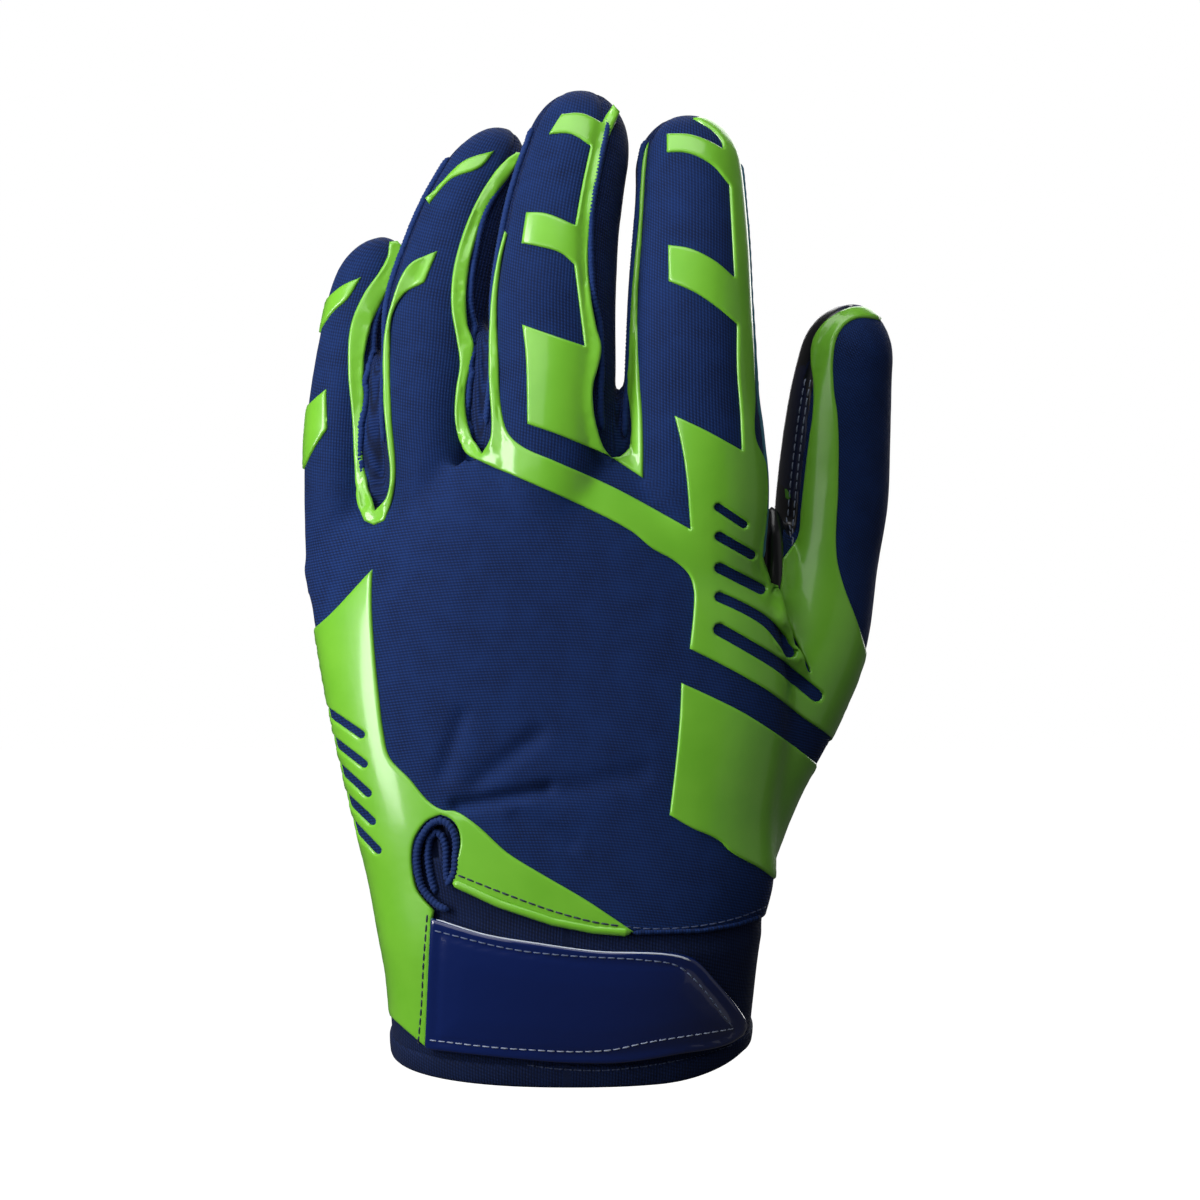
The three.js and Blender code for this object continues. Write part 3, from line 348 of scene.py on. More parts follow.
# The web of palm cloth at the bottom of the gap between index finger and thumb. Columns: z, x of its middle.
CROTCH_LINE = np.array([(92.0, 44.5), (100.0, 43.2), (118.0, 42.4)])
CROTCH_TOP = 117.0
CROTCH_TAPER = 6.0
CROTCH_MIDDLE = 3.0
CROTCH_HALF_WIDTH = 3.5
CROTCH_HALF_DEPTH = 4.5


def crotch_point(z, angle):
    """Points on the palm cloth that fills the thumb's gap."""
    z, angle = np.broadcast_arrays(z, angle)
    rise = np.clip((CROTCH_TOP - z) / CROTCH_TAPER, 0.02, 1) ** 0.5
    x = np.interp(z, CROTCH_LINE[:, 0], CROTCH_LINE[:, 1]) + CROTCH_HALF_WIDTH * rise * np.sin(angle)
    return np.stack([x, CROTCH_MIDDLE - CROTCH_HALF_DEPTH * rise * np.cos(angle), z], -1)


forms.append(tube_form("crotch_form", crotch_point,
                       np.linspace(CROTCH_LINE[0, 0], CROTCH_TOP, GAP_RINGS), GAP_SIDES))
form_surfaces = {}
for name, form in zip(["palm", *FINGERS], forms):
    form_surfaces[name] = BVHTree.FromPolygons(*[side.tolist() for side in triangles_of(form)])
select_only(forms[0])
for form in forms:
    form.select_set(True)
bpy.ops.object.join()
skin = bpy.context.object
apply_modifier(skin, "REMESH", mode="VOXEL", voxel_size=SKIN_VOXEL * MM, use_smooth_shade=True)
apply_modifier(skin, "SMOOTH", factor=0.5, iterations=8)

# Softer still over the knuckles and round the thumb's root, where the cloth spans from form to form.
KNUCKLE_SOFTNESS = 60
KNUCKLE_HEIGHT = 108
KNUCKLE_REACH = 16
KNUCKLE_DEPTH = 2
THUMB_ROOT = (42, -6, 62)
THUMB_ROOT_REACH = (14, 14, 30)
THUMB_ROOT_WEIGHT = 1.6
places = np.array([v.co for v in skin.data.vertices]) / MM
knuckles = np.clip(1 - np.abs(places[:, 2] - KNUCKLE_HEIGHT) / KNUCKLE_REACH, 0, 1)
knuckles *= places[:, 1] < KNUCKLE_DEPTH
from_root = np.linalg.norm((places - THUMB_ROOT) / THUMB_ROOT_REACH, axis=1)
thumb_root = np.clip(1 - from_root, 0, 1) * THUMB_ROOT_WEIGHT
softness = skin.vertex_groups.new(name="softness")
for i, weight in enumerate(np.clip(np.maximum(knuckles, thumb_root), 0, 1)):
    if weight > 0.01:
        softness.add([i], float(weight), "REPLACE")
apply_modifier(skin, "SMOOTH", factor=0.5, iterations=KNUCKLE_SOFTNESS, vertex_group="softness")
skin.vertex_groups.clear()


# The seams. Each panel is the stretch of skin between its seams, so the skin is measured against the palm
# and every finger, pressed in along the seams and creases, and cut along smooth lines as a pattern would be.
SEAM_DEPTH = 0.55
SEAM_SOFTNESS = 0.9
SEAM_BLEND = 1.3
SEAMS_DEEP_FROM = 0.3
SIDE_STRIP = 5.0
SIDE_STRIP_START = 0.88
THUMB_SEAM = 0.36
CUFF_TOP = 30.0
HEM_RISE = 10.0
HEM_RISE_START = 8.0
HEM_RISE_REACH = 35.0
FAR_OFF = 20.0
FINGER_REACH = 1.6
# Where the knit turns from rows across the hand to ribs up a finger, and over what length: for the fingers
# in millimetres up the hand, for the thumb in shares of its length.
RIBS_TURN_AT = 112
RIBS_TURN_OVER = 14
THUMB_RIBS_TURN_AT = 0.3
THUMB_RIBS_TURN_OVER = 0.12
THUMB_RIB_LEAN = 0.75
# Creases. Columns: the two ends in x and z, depth and width in millimetres.
CREASES = ((-25.0, 53.0, -6.0, 56.5, 1.5, 1.5), (-21.0, 58.0, -8.0, 68.0, 0.8, 2.2),
           (-12.0, 51.0, -1.0, 45.0, 0.6, 1.8), (-28.0, 60.0, -24.0, 72.0, 0.7, 2.0),
           (-4.0, 56.0, 14.0, 60.0, 0.6, 2.6))
VENT = np.array([(-28.4, 50.9), (-26.0, 49.9), (-24.5, 48.0), (-24.3, 45.6), (-24.7, 43.3), (-25.4, 40.6),
                 (-26.2, 37.8), (-27.5, 35.2), (-30.0, 33.9), (-32.2, 35.2), (-33.5, 38.4), (-34.0, 42.6),
                 (-33.5, 45.6), (-32.7, 48.0), (-31.0, 49.9)])


def round_finger(finger, points):
    """Where points lie round a finger: share of its length, angle, and its middling radius there."""
    up = (points[:, 2] - finger["root"][1] * PALM_LENGTH) / finger["length"]
    for _ in range(4):
        here = np.clip(up, 0, 1)
        along, right, back = finger_frame(finger, here)
        up = here + ((points - finger_centre(finger, here)) * along).sum(1) / finger["length"]
    here = np.clip(up, 0, 1)
    along, right, back = finger_frame(finger, here)
    away = points - finger_centre(finger, here)
    half_breadth, half_thickness = finger_halves(finger, here)
    angle = np.arctan2((away * right).sum(1) / half_breadth, -(away * back).sum(1) / half_thickness)
    return up, angle, (half_breadth + half_thickness) / 2


def round_palm(points):
    """Where points lie on the palm: share of its length, and millimetres in front of its middle."""
    up = points[:, 2] / PALM_LENGTH
    for _ in range(4):
        tilt = np.radians(read(PALM_ROWS, 6, up))
        half_breadth, _ = palm_section(up)
        across = np.clip((points[:, 0] - read(PALM_ROWS, 1, up) * HAND_BREADTH) / half_breadth, -1.1, 1.1)
        depth = (points[:, 1] - palm_middle(up, across)) / np.cos(tilt)
        up = (points[:, 2] - depth * np.sin(tilt)) / PALM_LENGTH
    return up, -depth


def between(angle, start, end):
    """Radians inside the span from start to end, negative outside it."""
    middle, half = (start + end) / 2, (end - start) / 2
    return half - np.abs((angle - middle + np.pi) % (2 * np.pi) - np.pi)


def inside(outline, points):
    """Which points (x, z) lie inside an outline."""
    a, b = outline, np.roll(outline, -1, axis=0)
    x, z = points[:, None, 0], points[:, None, 1]
    rise = np.where(b[:, 1] == a[:, 1], 1e-9, b[:, 1] - a[:, 1])
    crossed = ((a[:, 1] > z) != (b[:, 1] > z)) & (x < a[:, 0] + (z - a[:, 1]) * (b[:, 0] - a[:, 0]) / rise)
    return crossed.sum(1) % 2 == 1


def edge_distance(starts, ends, points):
    """How far points are from the nearest of many straight edges."""
    along = ends - starts
    share = ((points[:, None] - starts) * along).sum(2) / np.maximum((along**2).sum(1), 1e-12)
    nearest = starts + along * np.clip(share, 0, 1)[..., None]
    return np.linalg.norm(points[:, None] - nearest, axis=2).min(1)


def surface_of(points, faces):
    """A mesh as a surface that rays and nearest points can be tried on."""
    return BVHTree.FromPolygons(np.asarray(points)[:, :3].tolist(), np.asarray(faces).tolist())


def face_normals(points, faces):
    """A direction out of each triangle, as long as twice its area."""
    a, b, c = (points[faces[:, k]] for k in range(3))
    return np.cross(b - a, c - a)


def point_normals(points, faces):
    """The direction out of the surface at each point."""
    total = np.zeros((len(points), 3))
    across = face_normals(points[:, :3], faces)
    for k in range(3):
        np.add.at(total, faces[:, k], across)
    return total / np.maximum(np.linalg.norm(total, axis=1, keepdims=True), 1e-12)


skin_points, skin_faces = triangles_of(skin)
form_names = ["palm", *FINGERS]
away_from = np.array([[form_surfaces[name].find_nearest(Vector(p))[3] for name in form_names]
                      for p in skin_points])
nearness = np.exp(-(away_from - away_from.min(1, keepdims=True)) / SEAM_BLEND)
nearness /= nearness.sum(1, keepdims=True)

palm_up, in_front = round_palm(skin_points)
side_strip = SIDE_STRIP * np.clip((palm_up - SIDE_STRIP_START) / 0.1, 0, 1)
back_field = nearness[:, 0] * (in_front - side_strip)
palm_field = nearness[:, 0] * (-in_front - side_strip)
rib_across = nearness[:, 0] * skin_points[:, 0]
for i, finger in enumerate(FINGERS.values(), 1):
    up, angle, radius = round_finger(finger, skin_points)
    left = np.radians(read(finger["rows"], 5, up))
    right = np.radians(read(finger["rows"], 6, up))
    back_field += nearness[:, i] * radius * between(angle, left, right)
    span = np.radians([finger["palm_right"], finger["palm_left"]])
    palm_field += nearness[:, i] * radius * between(angle, *span)
    leaning = THUMB_RIB_LEAN * up * finger["length"] if finger is FINGERS["thumb"] else 0.0
    rib_across += nearness[:, i] * (radius * angle + leaning + finger["root"][0] * HAND_BREADTH)
thumb_share = nearness[:, form_names.index("thumb")]
thumb_up, _, _ = round_finger(FINGERS["thumb"], skin_points)
thumb_field = (thumb_up - THUMB_SEAM) * FINGERS["thumb"]["length"] * thumb_share - 60 * (1 - thumb_share)
on_finger = np.clip((skin_points[:, 2] - RIBS_TURN_AT) / RIBS_TURN_OVER, 0, 1) * (1 - nearness[:, 0])
on_thumb = np.clip((thumb_up - THUMB_RIBS_TURN_AT) / THUMB_RIBS_TURN_OVER, 0, 1) * thumb_share
on_finger = np.maximum(on_finger, on_thumb)
hem_rise = np.clip((HEM_RISE_START - skin_points[:, 0]) / HEM_RISE_REACH, 0, 1) ** 1.3
lower_edge = CUFF_TOP + HEM_RISE * hem_rise * (in_front > 0)
cuff_field = palm_up * PALM_LENGTH - lower_edge
flat_places = skin_points[:, [0, 2]]
vent_field = edge_distance(VENT, np.roll(VENT, -1, axis=0), flat_places)
vent_field = np.where(inside(VENT, flat_places), -vent_field, vent_field)
vent_field = np.where(in_front > 0, vent_field, FAR_OFF)

# Pressed in along the seams, and creased where the cloth folds beside the vent.
pressed = SEAM_DEPTH * np.exp(-(back_field / SEAM_SOFTNESS) ** 2)
pressed = np.maximum(pressed, SEAM_DEPTH * np.exp(-(palm_field / SEAM_SOFTNESS) ** 2))
pressed *= np.clip((palm_up - SEAMS_DEEP_FROM) / 0.2, 0, 1)
for x1, z1, x2, z2, depth, width in CREASES:
    gone = edge_distance(np.array([[x1, z1]]), np.array([[x2, z2]]), flat_places)
    pressed = pressed + depth * np.exp(-(gone / width) ** 2) * (in_front > 0)
skin_points = skin_points - point_normals(skin_points, skin_faces) * pressed[:, None]
skin_surface = surface_of(skin_points, skin_faces)
finger_surfaces = {}
for i, name in enumerate(form_names):
    near = (away_from[:, i] < FINGER_REACH)[skin_faces].all(1)
    finger_surfaces[name] = surface_of(skin_points, skin_faces[near])

# The crotch's own cloth, which the index finger's film doesn't lie on.
CROTCH_CLOTH_HALF_WIDTH = 3.2
CROTCH_CLOTH_CLEAR = 0.7
CROTCH_CLOTH_HEIGHTS = (98, CROTCH_TOP + 2)
CROTCH_CLOTH_FRONT = -6
crotch_x = np.interp(skin_points[:, 2], CROTCH_LINE[:, 0], CROTCH_LINE[:, 1])
low, high = CROTCH_CLOTH_HEIGHTS
on_crotch = ((np.abs(skin_points[:, 0] - crotch_x) < CROTCH_CLOTH_HALF_WIDTH)
             & (away_from.min(1) > CROTCH_CLOTH_CLEAR)
             & (skin_points[:, 2] > low) & (skin_points[:, 2] < high)
             & (skin_points[:, 1] > CROTCH_CLOTH_FRONT))

# Seen from the back of the hand, each gap parts the fingers beside it from a height above its bottom.
THUMB_PARTING = [(43.6, 99.6), (43.2, 118.3), (41.5, 139.8)]
PARTED_ABOVE = 26.0
OWNER_SLACK = 0.5
ACROSS = ("little", "ring", "middle", "index", "thumb")
partings = [(np.array(line), line[0][1] + PARTED_ABOVE) for line in GAP_LINES.values()]
partings.append((np.array(THUMB_PARTING), THUMB_PARTING[0][1]))
shown_surfaces = {}


def shown_at(x, z):
    """The surface that shows at a place from the back, kept apart where a gap parts the fingers."""
    first, last = 0, len(partings)
    for i, (line, start) in enumerate(partings):
        if z > start and x > np.interp(z, line[:, 1], line[:, 0]):
            first = max(first, i + 1)
        elif z > start:
            last = min(last, i)
    shown = ACROSS[first:last + 1]
    if shown == ACROSS:
        return worn_surface
    if shown not in shown_surfaces:
        columns = [form_names.index(name) for name in (*shown, "palm")]
        owned = away_from[:, columns].min(1) < away_from.min(1) + OWNER_SLACK
        if "thumb" not in shown:
            owned &= ~on_crotch
        shown_surfaces[shown] = surface_of(skin_points, skin_faces[owned[skin_faces].all(1)])
    return shown_surfaces[shown]


# Columns of the cutting table: place, then each field, then the coordinates that the knit's ribs follow. The
# rows across the hand sag a little towards its middle.
BACK, PALM, THUMB, CUFF, OUT_OF_VENT, ROWS_AT, RIBS_AT, ON_FINGER = range(3, 11)
ROW_SAG = 0.0022
ROW_SAG_MIDDLE = -10
rows_at = skin_points[:, 2] + ROW_SAG * (skin_points[:, 0] - ROW_SAG_MIDDLE) ** 2
table = np.column_stack([skin_points, back_field, palm_field, thumb_field, cuff_field, vent_field,
                         rows_at, rib_across, on_finger])


def compact(points, faces):
    """The faces with only the points that they use."""
    used, places = np.unique(faces, return_inverse=True)
    return points[used], places.reshape(-1, 3)


def split(points, faces, column):
    """Cut a triangle mesh where one of its columns passes through zero: positive part, negative part."""
    field = points[:, column]
    side = field > 0
    count = side[faces].sum(1)
    crossing, added = {}, []

    def cut(a, b):
        key = (min(a, b), max(a, b))
        if key not in crossing:
            share = np.clip(field[key[0]] / (field[key[0]] - field[key[1]]), 0.02, 0.98)
            crossing[key] = len(points) + len(added)
            added.append(points[key[0]] + (points[key[1]] - points[key[0]]) * share)
        return crossing[key]

    kept = {True: faces[count == 3].tolist(), False: faces[count == 0].tolist()}
    for face in faces[(count == 1) | (count == 2)]:
        lone = side[face].sum() == 1
        i = int(np.argmax(side[face] == lone))
        a, b, c = (int(face[(i + k) % 3]) for k in range(3))
        ab, ac = cut(a, b), cut(a, c)
        kept[bool(lone)].append((a, ab, ac))
        kept[not lone] += [(ab, b, c), (ab, c, ac)]
    whole = np.vstack([points, added]) if added else points
    return [compact(whole, np.array(kept[part], np.int32).reshape(-1, 3)) for part in (True, False)]


def loose_parts(points, faces):
    """The parts of a mesh that don't touch each other, the largest first."""
    label = np.arange(len(points))
    while True:
        lowest = label[faces].min(1)
        fresh = label.copy()
        for k in range(3):
            np.minimum.at(fresh, faces[:, k], lowest)
        fresh = fresh[fresh]
        if (fresh == label).all():
            break
        label = fresh
    names, counts = np.unique(label[faces[:, 0]], return_counts=True)
    return [compact(points, faces[label[faces[:, 0]] == name]) for name in names[np.argsort(-counts)]]


above_cuff = split(table, skin_faces, CUFF)[0]
back_part, rest = split(*above_cuff, BACK)
thumb_part, back_part = split(*back_part, THUMB)
palm_part, walls = split(*rest, PALM)
back_part = split(*back_part, OUT_OF_VENT)[0]
bpy.data.objects.remove(skin)


# Colours and finishes of the cloth. The knit is a fine polyester rib in navy; its ribs and loops are half a
# millimetre to 0.7 mm in the real glove and drawn at 0.62 mm, as coarse as the picture needs to show them.
RIB_PITCH = 0.62
LOOP_PITCH = 0.68
TWILL = 0.3


def add_node(tree, kind, inputs=None, **settings):
    """One shader node with its settings and its links."""
    made = tree.nodes.new("ShaderNode" + kind)
    for key, value in settings.items():
        setattr(made, key, value)
    for key, value in (inputs or {}).items():
        if isinstance(value, bpy.types.NodeSocket):
            tree.links.new(value, made.inputs[key])
        else:
            made.inputs[key].default_value = value
    return made


def tint(code):
    """An sRGB hex colour as the linear colour that Blender takes."""
    parts = [int(code[i:i + 2], 16) / 255 for i in (1, 3, 5)]
    return tuple(p / 12.92 if p <= 0.04045 else ((p + 0.055) / 1.055) ** 2.4 for p in parts) + (1.0,)


def new_finish(name, code, roughness, **sockets):
    """A material of one colour and roughness, with its other shader sockets set directly."""
    material = bpy.data.materials.new(name)
    material.use_nodes = True
    shader = material.node_tree.nodes["Principled BSDF"]
    shader.inputs["Base Color"].default_value = tint(code)
    shader.inputs["Roughness"].default_value = roughness
    for key, value in sockets.items():
        shader.inputs[key.replace("_", " ")].default_value = value
    return material


def maths(tree, operation, *values):
    """The outcome of one sum of numbers or sockets."""
    return add_node(tree, "Math", dict(enumerate(values)), operation=operation).outputs[0]


def noise(tree, scale, detail):
    """Clouds in the object's own coordinates, which are in metres."""
    place = add_node(tree, "TexCoord").outputs["Object"]
    return add_node(tree, "TexNoise", {"Vector": place, "Scale": scale, "Detail": detail}).outputs[0]


def emboss(tree, height, strength, distance):
    """Raise the surface by a height, at most by a distance in millimetres."""
    bump = add_node(tree, "Bump", {"Height": height, "Strength": strength, "Distance": distance * MM})
    tree.links.new(bump.outputs[0], tree.nodes["Principled BSDF"].inputs["Normal"])


def mixed_colour(tree, share, dark, light):
    """The surface's colour, between two colours."""
    colour = add_node(tree, "Mix", {0: share, 6: tint(dark), 7: tint(light)}, data_type="RGBA")
    tree.links.new(colour.outputs[2], tree.nodes["Principled BSDF"].inputs["Base Color"])


def wave(tree, value, pitch):
    """A sine along a coordinate in millimetres, one turn to each pitch."""
    return maths(tree, "SINE", maths(tree, "MULTIPLY", value, 2 * math.pi / pitch))


def loops(tree, across, along):
    """The height of a knitted rib: a ridge with small slanted loops up it."""
    ridge = maths(tree, "MULTIPLY_ADD", wave(tree, across, RIB_PITCH), 0.38, 0.62)
    slanted = maths(tree, "MULTIPLY_ADD", across, TWILL, along)
    loop = maths(tree, "MULTIPLY_ADD", wave(tree, slanted, LOOP_PITCH), 0.3, 0.7)
    return maths(tree, "MULTIPLY", ridge, loop)


def knit_finish(name, lit, groove_shade, relief=0.35):
    """A knit whose ribs follow the piece's own weave attribute: rows on the hand, ribs up the fingers. Its
    colour runs from painted shade in the grooves to a lit colour on the rib tops.
    """
    material = new_finish(name, lit, 0.78, Sheen_Weight=0.03, Sheen_Roughness=0.5, Specular_IOR_Level=0.15)
    tree = material.node_tree
    weave = add_node(tree, "Attribute", attribute_name="weave").outputs["Vector"]
    row, rib, on_finger_share = add_node(tree, "SeparateXYZ", {0: weave}).outputs
    height = add_node(tree, "Mix", {0: on_finger_share, 2: loops(tree, row, rib),
                                    3: loops(tree, rib, row)}).outputs[0]
    shade = maths(tree, "MULTIPLY_ADD", noise(tree, 180.0, 3.0), 0.5, height)
    share = add_node(tree, "MapRange", {0: shade, 1: 0.15, 2: 1.0}).outputs[0]
    # Painted shade: where the ribs are low the knit takes the dark groove colour, on their tops the lit
    # colour.
    mixed_colour(tree, share, groove_shade, lit)
    emboss(tree, maths(tree, "MULTIPLY_ADD", noise(tree, 2600.0, 2.0), 0.5, height), relief, 0.3)
    return material


# The back panel. One piece of knit over the back of the hand and the backs of the fingers, cut away for the
# vent at the little finger's side, sewn to the side walls and the palm all round.
CLOTH = 1.1


def give_weave(piece, values):
    """Each point's place along the knit's rows and ribs, and how far the ribs run up a finger there."""
    weave = piece.data.attributes.new("weave", "FLOAT_VECTOR", "POINT")
    weave.data.foreach_set("vector", np.asarray(values, np.float32).ravel())


def cloth_piece(name, points, faces, material, slot, *nodes):
    """A panel of cloth with its thickness turned inward."""
    piece = mesh_object(name, points[:, :3], faces)
    give_weave(piece, points[:, [ROWS_AT, RIBS_AT, ON_FINGER]])
    apply_modifier(piece, "SOLIDIFY", thickness=CLOTH * MM, offset=-1)
    piece.data.shade_smooth()
    set_in_place(piece, material, slot, *nodes)


def set_in_place(piece, material, slot, *nodes):
    """Give a piece its material, attach it to the root, and hide the solids that it stands for; the slot is
    not used.
    """
    piece.data.materials.append(material)
    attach(piece, "root")
    if nodes:
        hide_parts(*nodes)


# Knit colours: lit rib tops, then the painted shade of the grooves.
back_knit_finish = knit_finish("back_knit", "#14326c", "#040b22")
cloth_piece("back_knit", *loose_parts(*back_part)[0], back_knit_finish, "knit_navy", "back_panel")


# The back of the thumb. Its own piece of the same knit, because the thumb turns away from the hand.
cloth_piece("thumb_knit", *loose_parts(*thumb_part)[0], back_knit_finish, "knit_navy", "thumb_back")


# The side walls. Strips of mesh knit up the facing sides of neighbouring fingers and across the
# bottom of the gap between them, so that the fingers can spread. Their knit is coloured darker than the
# back's, as painted shade of the narrow gaps.
LEAST_WALL_FACES = 40
WALL_FOOT = 8
# Painted shade: both wall colours are darker than the back knit's, for the shade in the gaps between the
# fingers.
wall_finish = knit_finish("side_wall_knit", "#132c62", "#02050e", relief=0.8)
gap_places = np.array([line[0][0] for line in GAP_LINES.values()])
gap_parts = {name: [] for name in GAP_LINES}
for part_points, part_faces in loose_parts(*walls):
    if len(part_faces) < LEAST_WALL_FACES:
        continue
    lowest = part_points[part_points[:, 2] < part_points[:, 2].min() + WALL_FOOT, 0].mean()
    nearest = list(GAP_LINES)[int(np.abs(gap_places - lowest).argmin())]
    gap_parts[nearest].append((part_points, part_faces))
for name, parts in gap_parts.items():
    starts = np.cumsum([0] + [len(p) for p, _ in parts])
    points = np.vstack([p for p, _ in parts])
    faces = np.vstack([f + start for (_, f), start in zip(parts, starts)])
    cloth_piece(name.replace("fourchette", "side_wall"), points, faces, wall_finish, "side_knit", name)


# The palm. One smooth coated microfibre panel wrapped from the outer edges of the fingers round the palm
# side, with a tacky print in angular patches of navy, black, green and pale grey.
PRINT_STOPS = ((0.0, "#0a1434"), (0.45, "#04060f"), (0.86, "#5fae2a"), (0.93, "#8c95a6"))


def palm_finish():
    """The coated palm with its print in angular patches."""
    material = new_finish("palm_grip", "#0b1636", 0.32, Specular_IOR_Level=0.6, Coat_Weight=0.35,
                          Coat_Roughness=0.18)
    tree = material.node_tree
    place = add_node(tree, "TexCoord").outputs["Object"]
    stretched = add_node(tree, "Mapping", {0: place, "Rotation": (0.3, 0.2, 0.5),
                                           "Scale": (62.0, 62.0, 44.0)})
    patch = add_node(tree, "TexVoronoi", {"Vector": stretched.outputs[0], "Scale": 1.0},
                     distance="MANHATTAN")
    value = add_node(tree, "SeparateColor", {0: patch.outputs["Color"]})
    ramp = add_node(tree, "ValToRGB", {0: value.outputs[0]})
    ramp.color_ramp.interpolation = "CONSTANT"
    stops = ramp.color_ramp.elements
    for i, (position, code) in enumerate(PRINT_STOPS):
        stop = stops[i] if i < len(stops) else stops.new(position)
        stop.position, stop.color = position, tint(code)
    tree.links.new(ramp.outputs[0], tree.nodes["Principled BSDF"].inputs["Base Color"])
    grain = add_node(tree, "TexVoronoi", {"Vector": place, "Scale": 900.0})
    emboss(tree, grain.outputs[0], 0.12, 0.2)
    return material


cloth_piece("palm_shell", *loose_parts(*palm_part)[0], palm_finish(), "palm_grip", "palm_panel")


# The cuff. A band of ribbed elastic knit sewn inside the lower edge of the panels, from the wrist opening
# up. Its heights are shares of the palm's length. Towards the thumb its lower edge rises.
CUFF_BOTTOM = 0.03
CUFF_RISE = 0.34
CUFF_TUCK = 1.3
CUFF_TUCK_START = 0.2
CUFF_RINGS = 40
CUFF_SIDES = 240
HEM_LIFT = 2.6
HEM_LIFT_START = 18
HEM_LIFT_TOP = 0.1


def palm_band(name, profile, closed):
    """A band round the hand through a profile of (share of the palm's length, growth)."""
    angles = np.arange(CUFF_SIDES) * 2 * np.pi / CUFF_SIDES
    rings = np.array([palm_point(up, angles, grow) for up, grow in profile])
    low = np.clip((HEM_LIFT_TOP - np.array([up for up, _ in profile])) / HEM_LIFT_TOP, 0, 1)[:, None]
    thumb_side = np.clip((rings[..., 0] - HEM_LIFT_START) / HEM_LIFT_START, 0, 1)
    rings[..., 2] += low * HEM_LIFT * thumb_side ** 2
    piece = mesh_object(name, rings.reshape(-1, 3), ring_faces(len(rings), CUFF_SIDES, closed))
    round_it = np.linalg.norm(np.roll(rings[0], -1, 0) - rings[0], axis=1)
    along = np.concatenate([[0], np.cumsum(round_it)[:-1]])
    heights = np.repeat([up * PALM_LENGTH for up, _ in profile], CUFF_SIDES)
    give_weave(piece, np.column_stack([heights, np.tile(along, len(rings)), np.ones(len(heights))]))
    return piece


cuff_heights = np.linspace(CUFF_BOTTOM, CUFF_RISE, CUFF_RINGS)
cuff_profile = [(up, -CUFF_TUCK * np.clip((up - CUFF_TUCK_START) / 0.05, 0, 1)) for up in cuff_heights]
cuff = palm_band("cuff_rib", cuff_profile, False)
cuff_points, cuff_faces = triangles_of(cuff)
apply_modifier(cuff, "SOLIDIFY", thickness=CLOTH * MM, offset=-1)
cuff.data.shade_smooth()
# Lit rib tops, then the painted shade of the grooves.
cuff_finish = knit_finish("cuff_rib_knit", "#10224c", "#030818", relief=0.5)
set_in_place(cuff, cuff_finish, "cuff_rib", "cuff_band")
worn_points = np.vstack([skin_points, cuff_points])
worn_faces = np.vstack([skin_faces, cuff_faces + len(skin_points)])
worn_surface = surface_of(worn_points, worn_faces)


# The hem. The same rib folded double round the wrist opening, so it stands a little proud of the cuff.
HEM_HALF_HEIGHT = 0.0175
HEM_HALF_THICKNESS = 1.15
HEM_INSET = 0.5
hem_turn = np.linspace(0, 2 * np.pi, 16, endpoint=False)
hem_profile = [(HEM_HALF_HEIGHT + HEM_HALF_HEIGHT * np.sign(np.cos(t)) * abs(np.cos(t)) ** 0.5,
                -HEM_INSET + HEM_HALF_THICKNESS * np.sign(np.sin(t)) * abs(np.sin(t)) ** 0.6)
               for t in hem_turn]
hem = palm_band("hem_fold", hem_profile, True)
set_in_place(hem, cuff_finish, "binding_navy", "hem_binding")


# The glossy film. Soft green gel poured on the back in raised shapes, level on top and rounded at its edges,
# about half a millimetre thick. The outlines are drawn from the back of the hand and laid on the cloth.
FILM_HEIGHT = 0.5
FILM_ROUNDING = 0.45
SHARP_TURN = 33


def flowing(corners, step, closed=True):
    """A line drawn smoothly through its corners, kept sharp where it turns by more than SHARP_TURN."""
    corners = np.asarray(corners, float)
    count = len(corners)
    ahead = np.roll(corners, -1, 0) - corners
    length = np.linalg.norm(ahead, axis=1)
    direction = ahead / length[:, None]
    before = np.roll(direction, 1, 0)
    turn = np.degrees(np.arccos(np.clip((direction * before).sum(1), -1, 1)))
    mean = direction + before
    mean /= np.maximum(np.linalg.norm(mean, axis=1, keepdims=True), 1e-9)
    broken = turn > SHARP_TURN
    if not closed:
        broken[[0, -1]] = True
    places = []
    for i in range(count if closed else count - 1):
        j = (i + 1) % count
        start = direction[i] if broken[i] else mean[i]
        end = direction[i] if broken[j] else mean[j]
        count_here = max(1, round(length[i] / step))
        s = np.arange(count_here)[:, None] / count_here
        places.append((2 * s**3 - 3 * s**2 + 1) * corners[i] + (s**3 - 2 * s**2 + s) * length[i] * start
                      + (3 * s**2 - 2 * s**3) * corners[j] + (s**3 - s**2) * length[i] * end)
    if not closed:
        places.append(corners[-1:])
    return np.vstack(places)


# How far back a film goes for each millimetre that it reaches past the outline, and how far it may reach.
LED_ROUND = 1.2
LED_REACH = 12.0
LED_STEP = 0.4
# How far from a gap's middle the film is stretched over it, and how far it may sink below its surroundings.
GAP_REACH = 4.5
GAP_DROP = 0.9
DRAPE_REACH = 2.2
DRAPE_ROUNDS = 120
EASE_ROUNDS = 8
# The fold between the index finger and the thumb, which the film spans like the gaps.
THUMB_FOLD = np.array([(52.0, 72.0), (48.8, 83.0), (45.5, 92.0), (43.6, 99.6), (43.2, 106.0)])
THUMB_FOLD_HEIGHTS = (79, 98)


def seen(under, x, z):
    """The place on a surface that shows from the back of the hand."""
    return under.ray_cast(Vector((x, -300, z)), Vector((0, 1, 0)))[0]


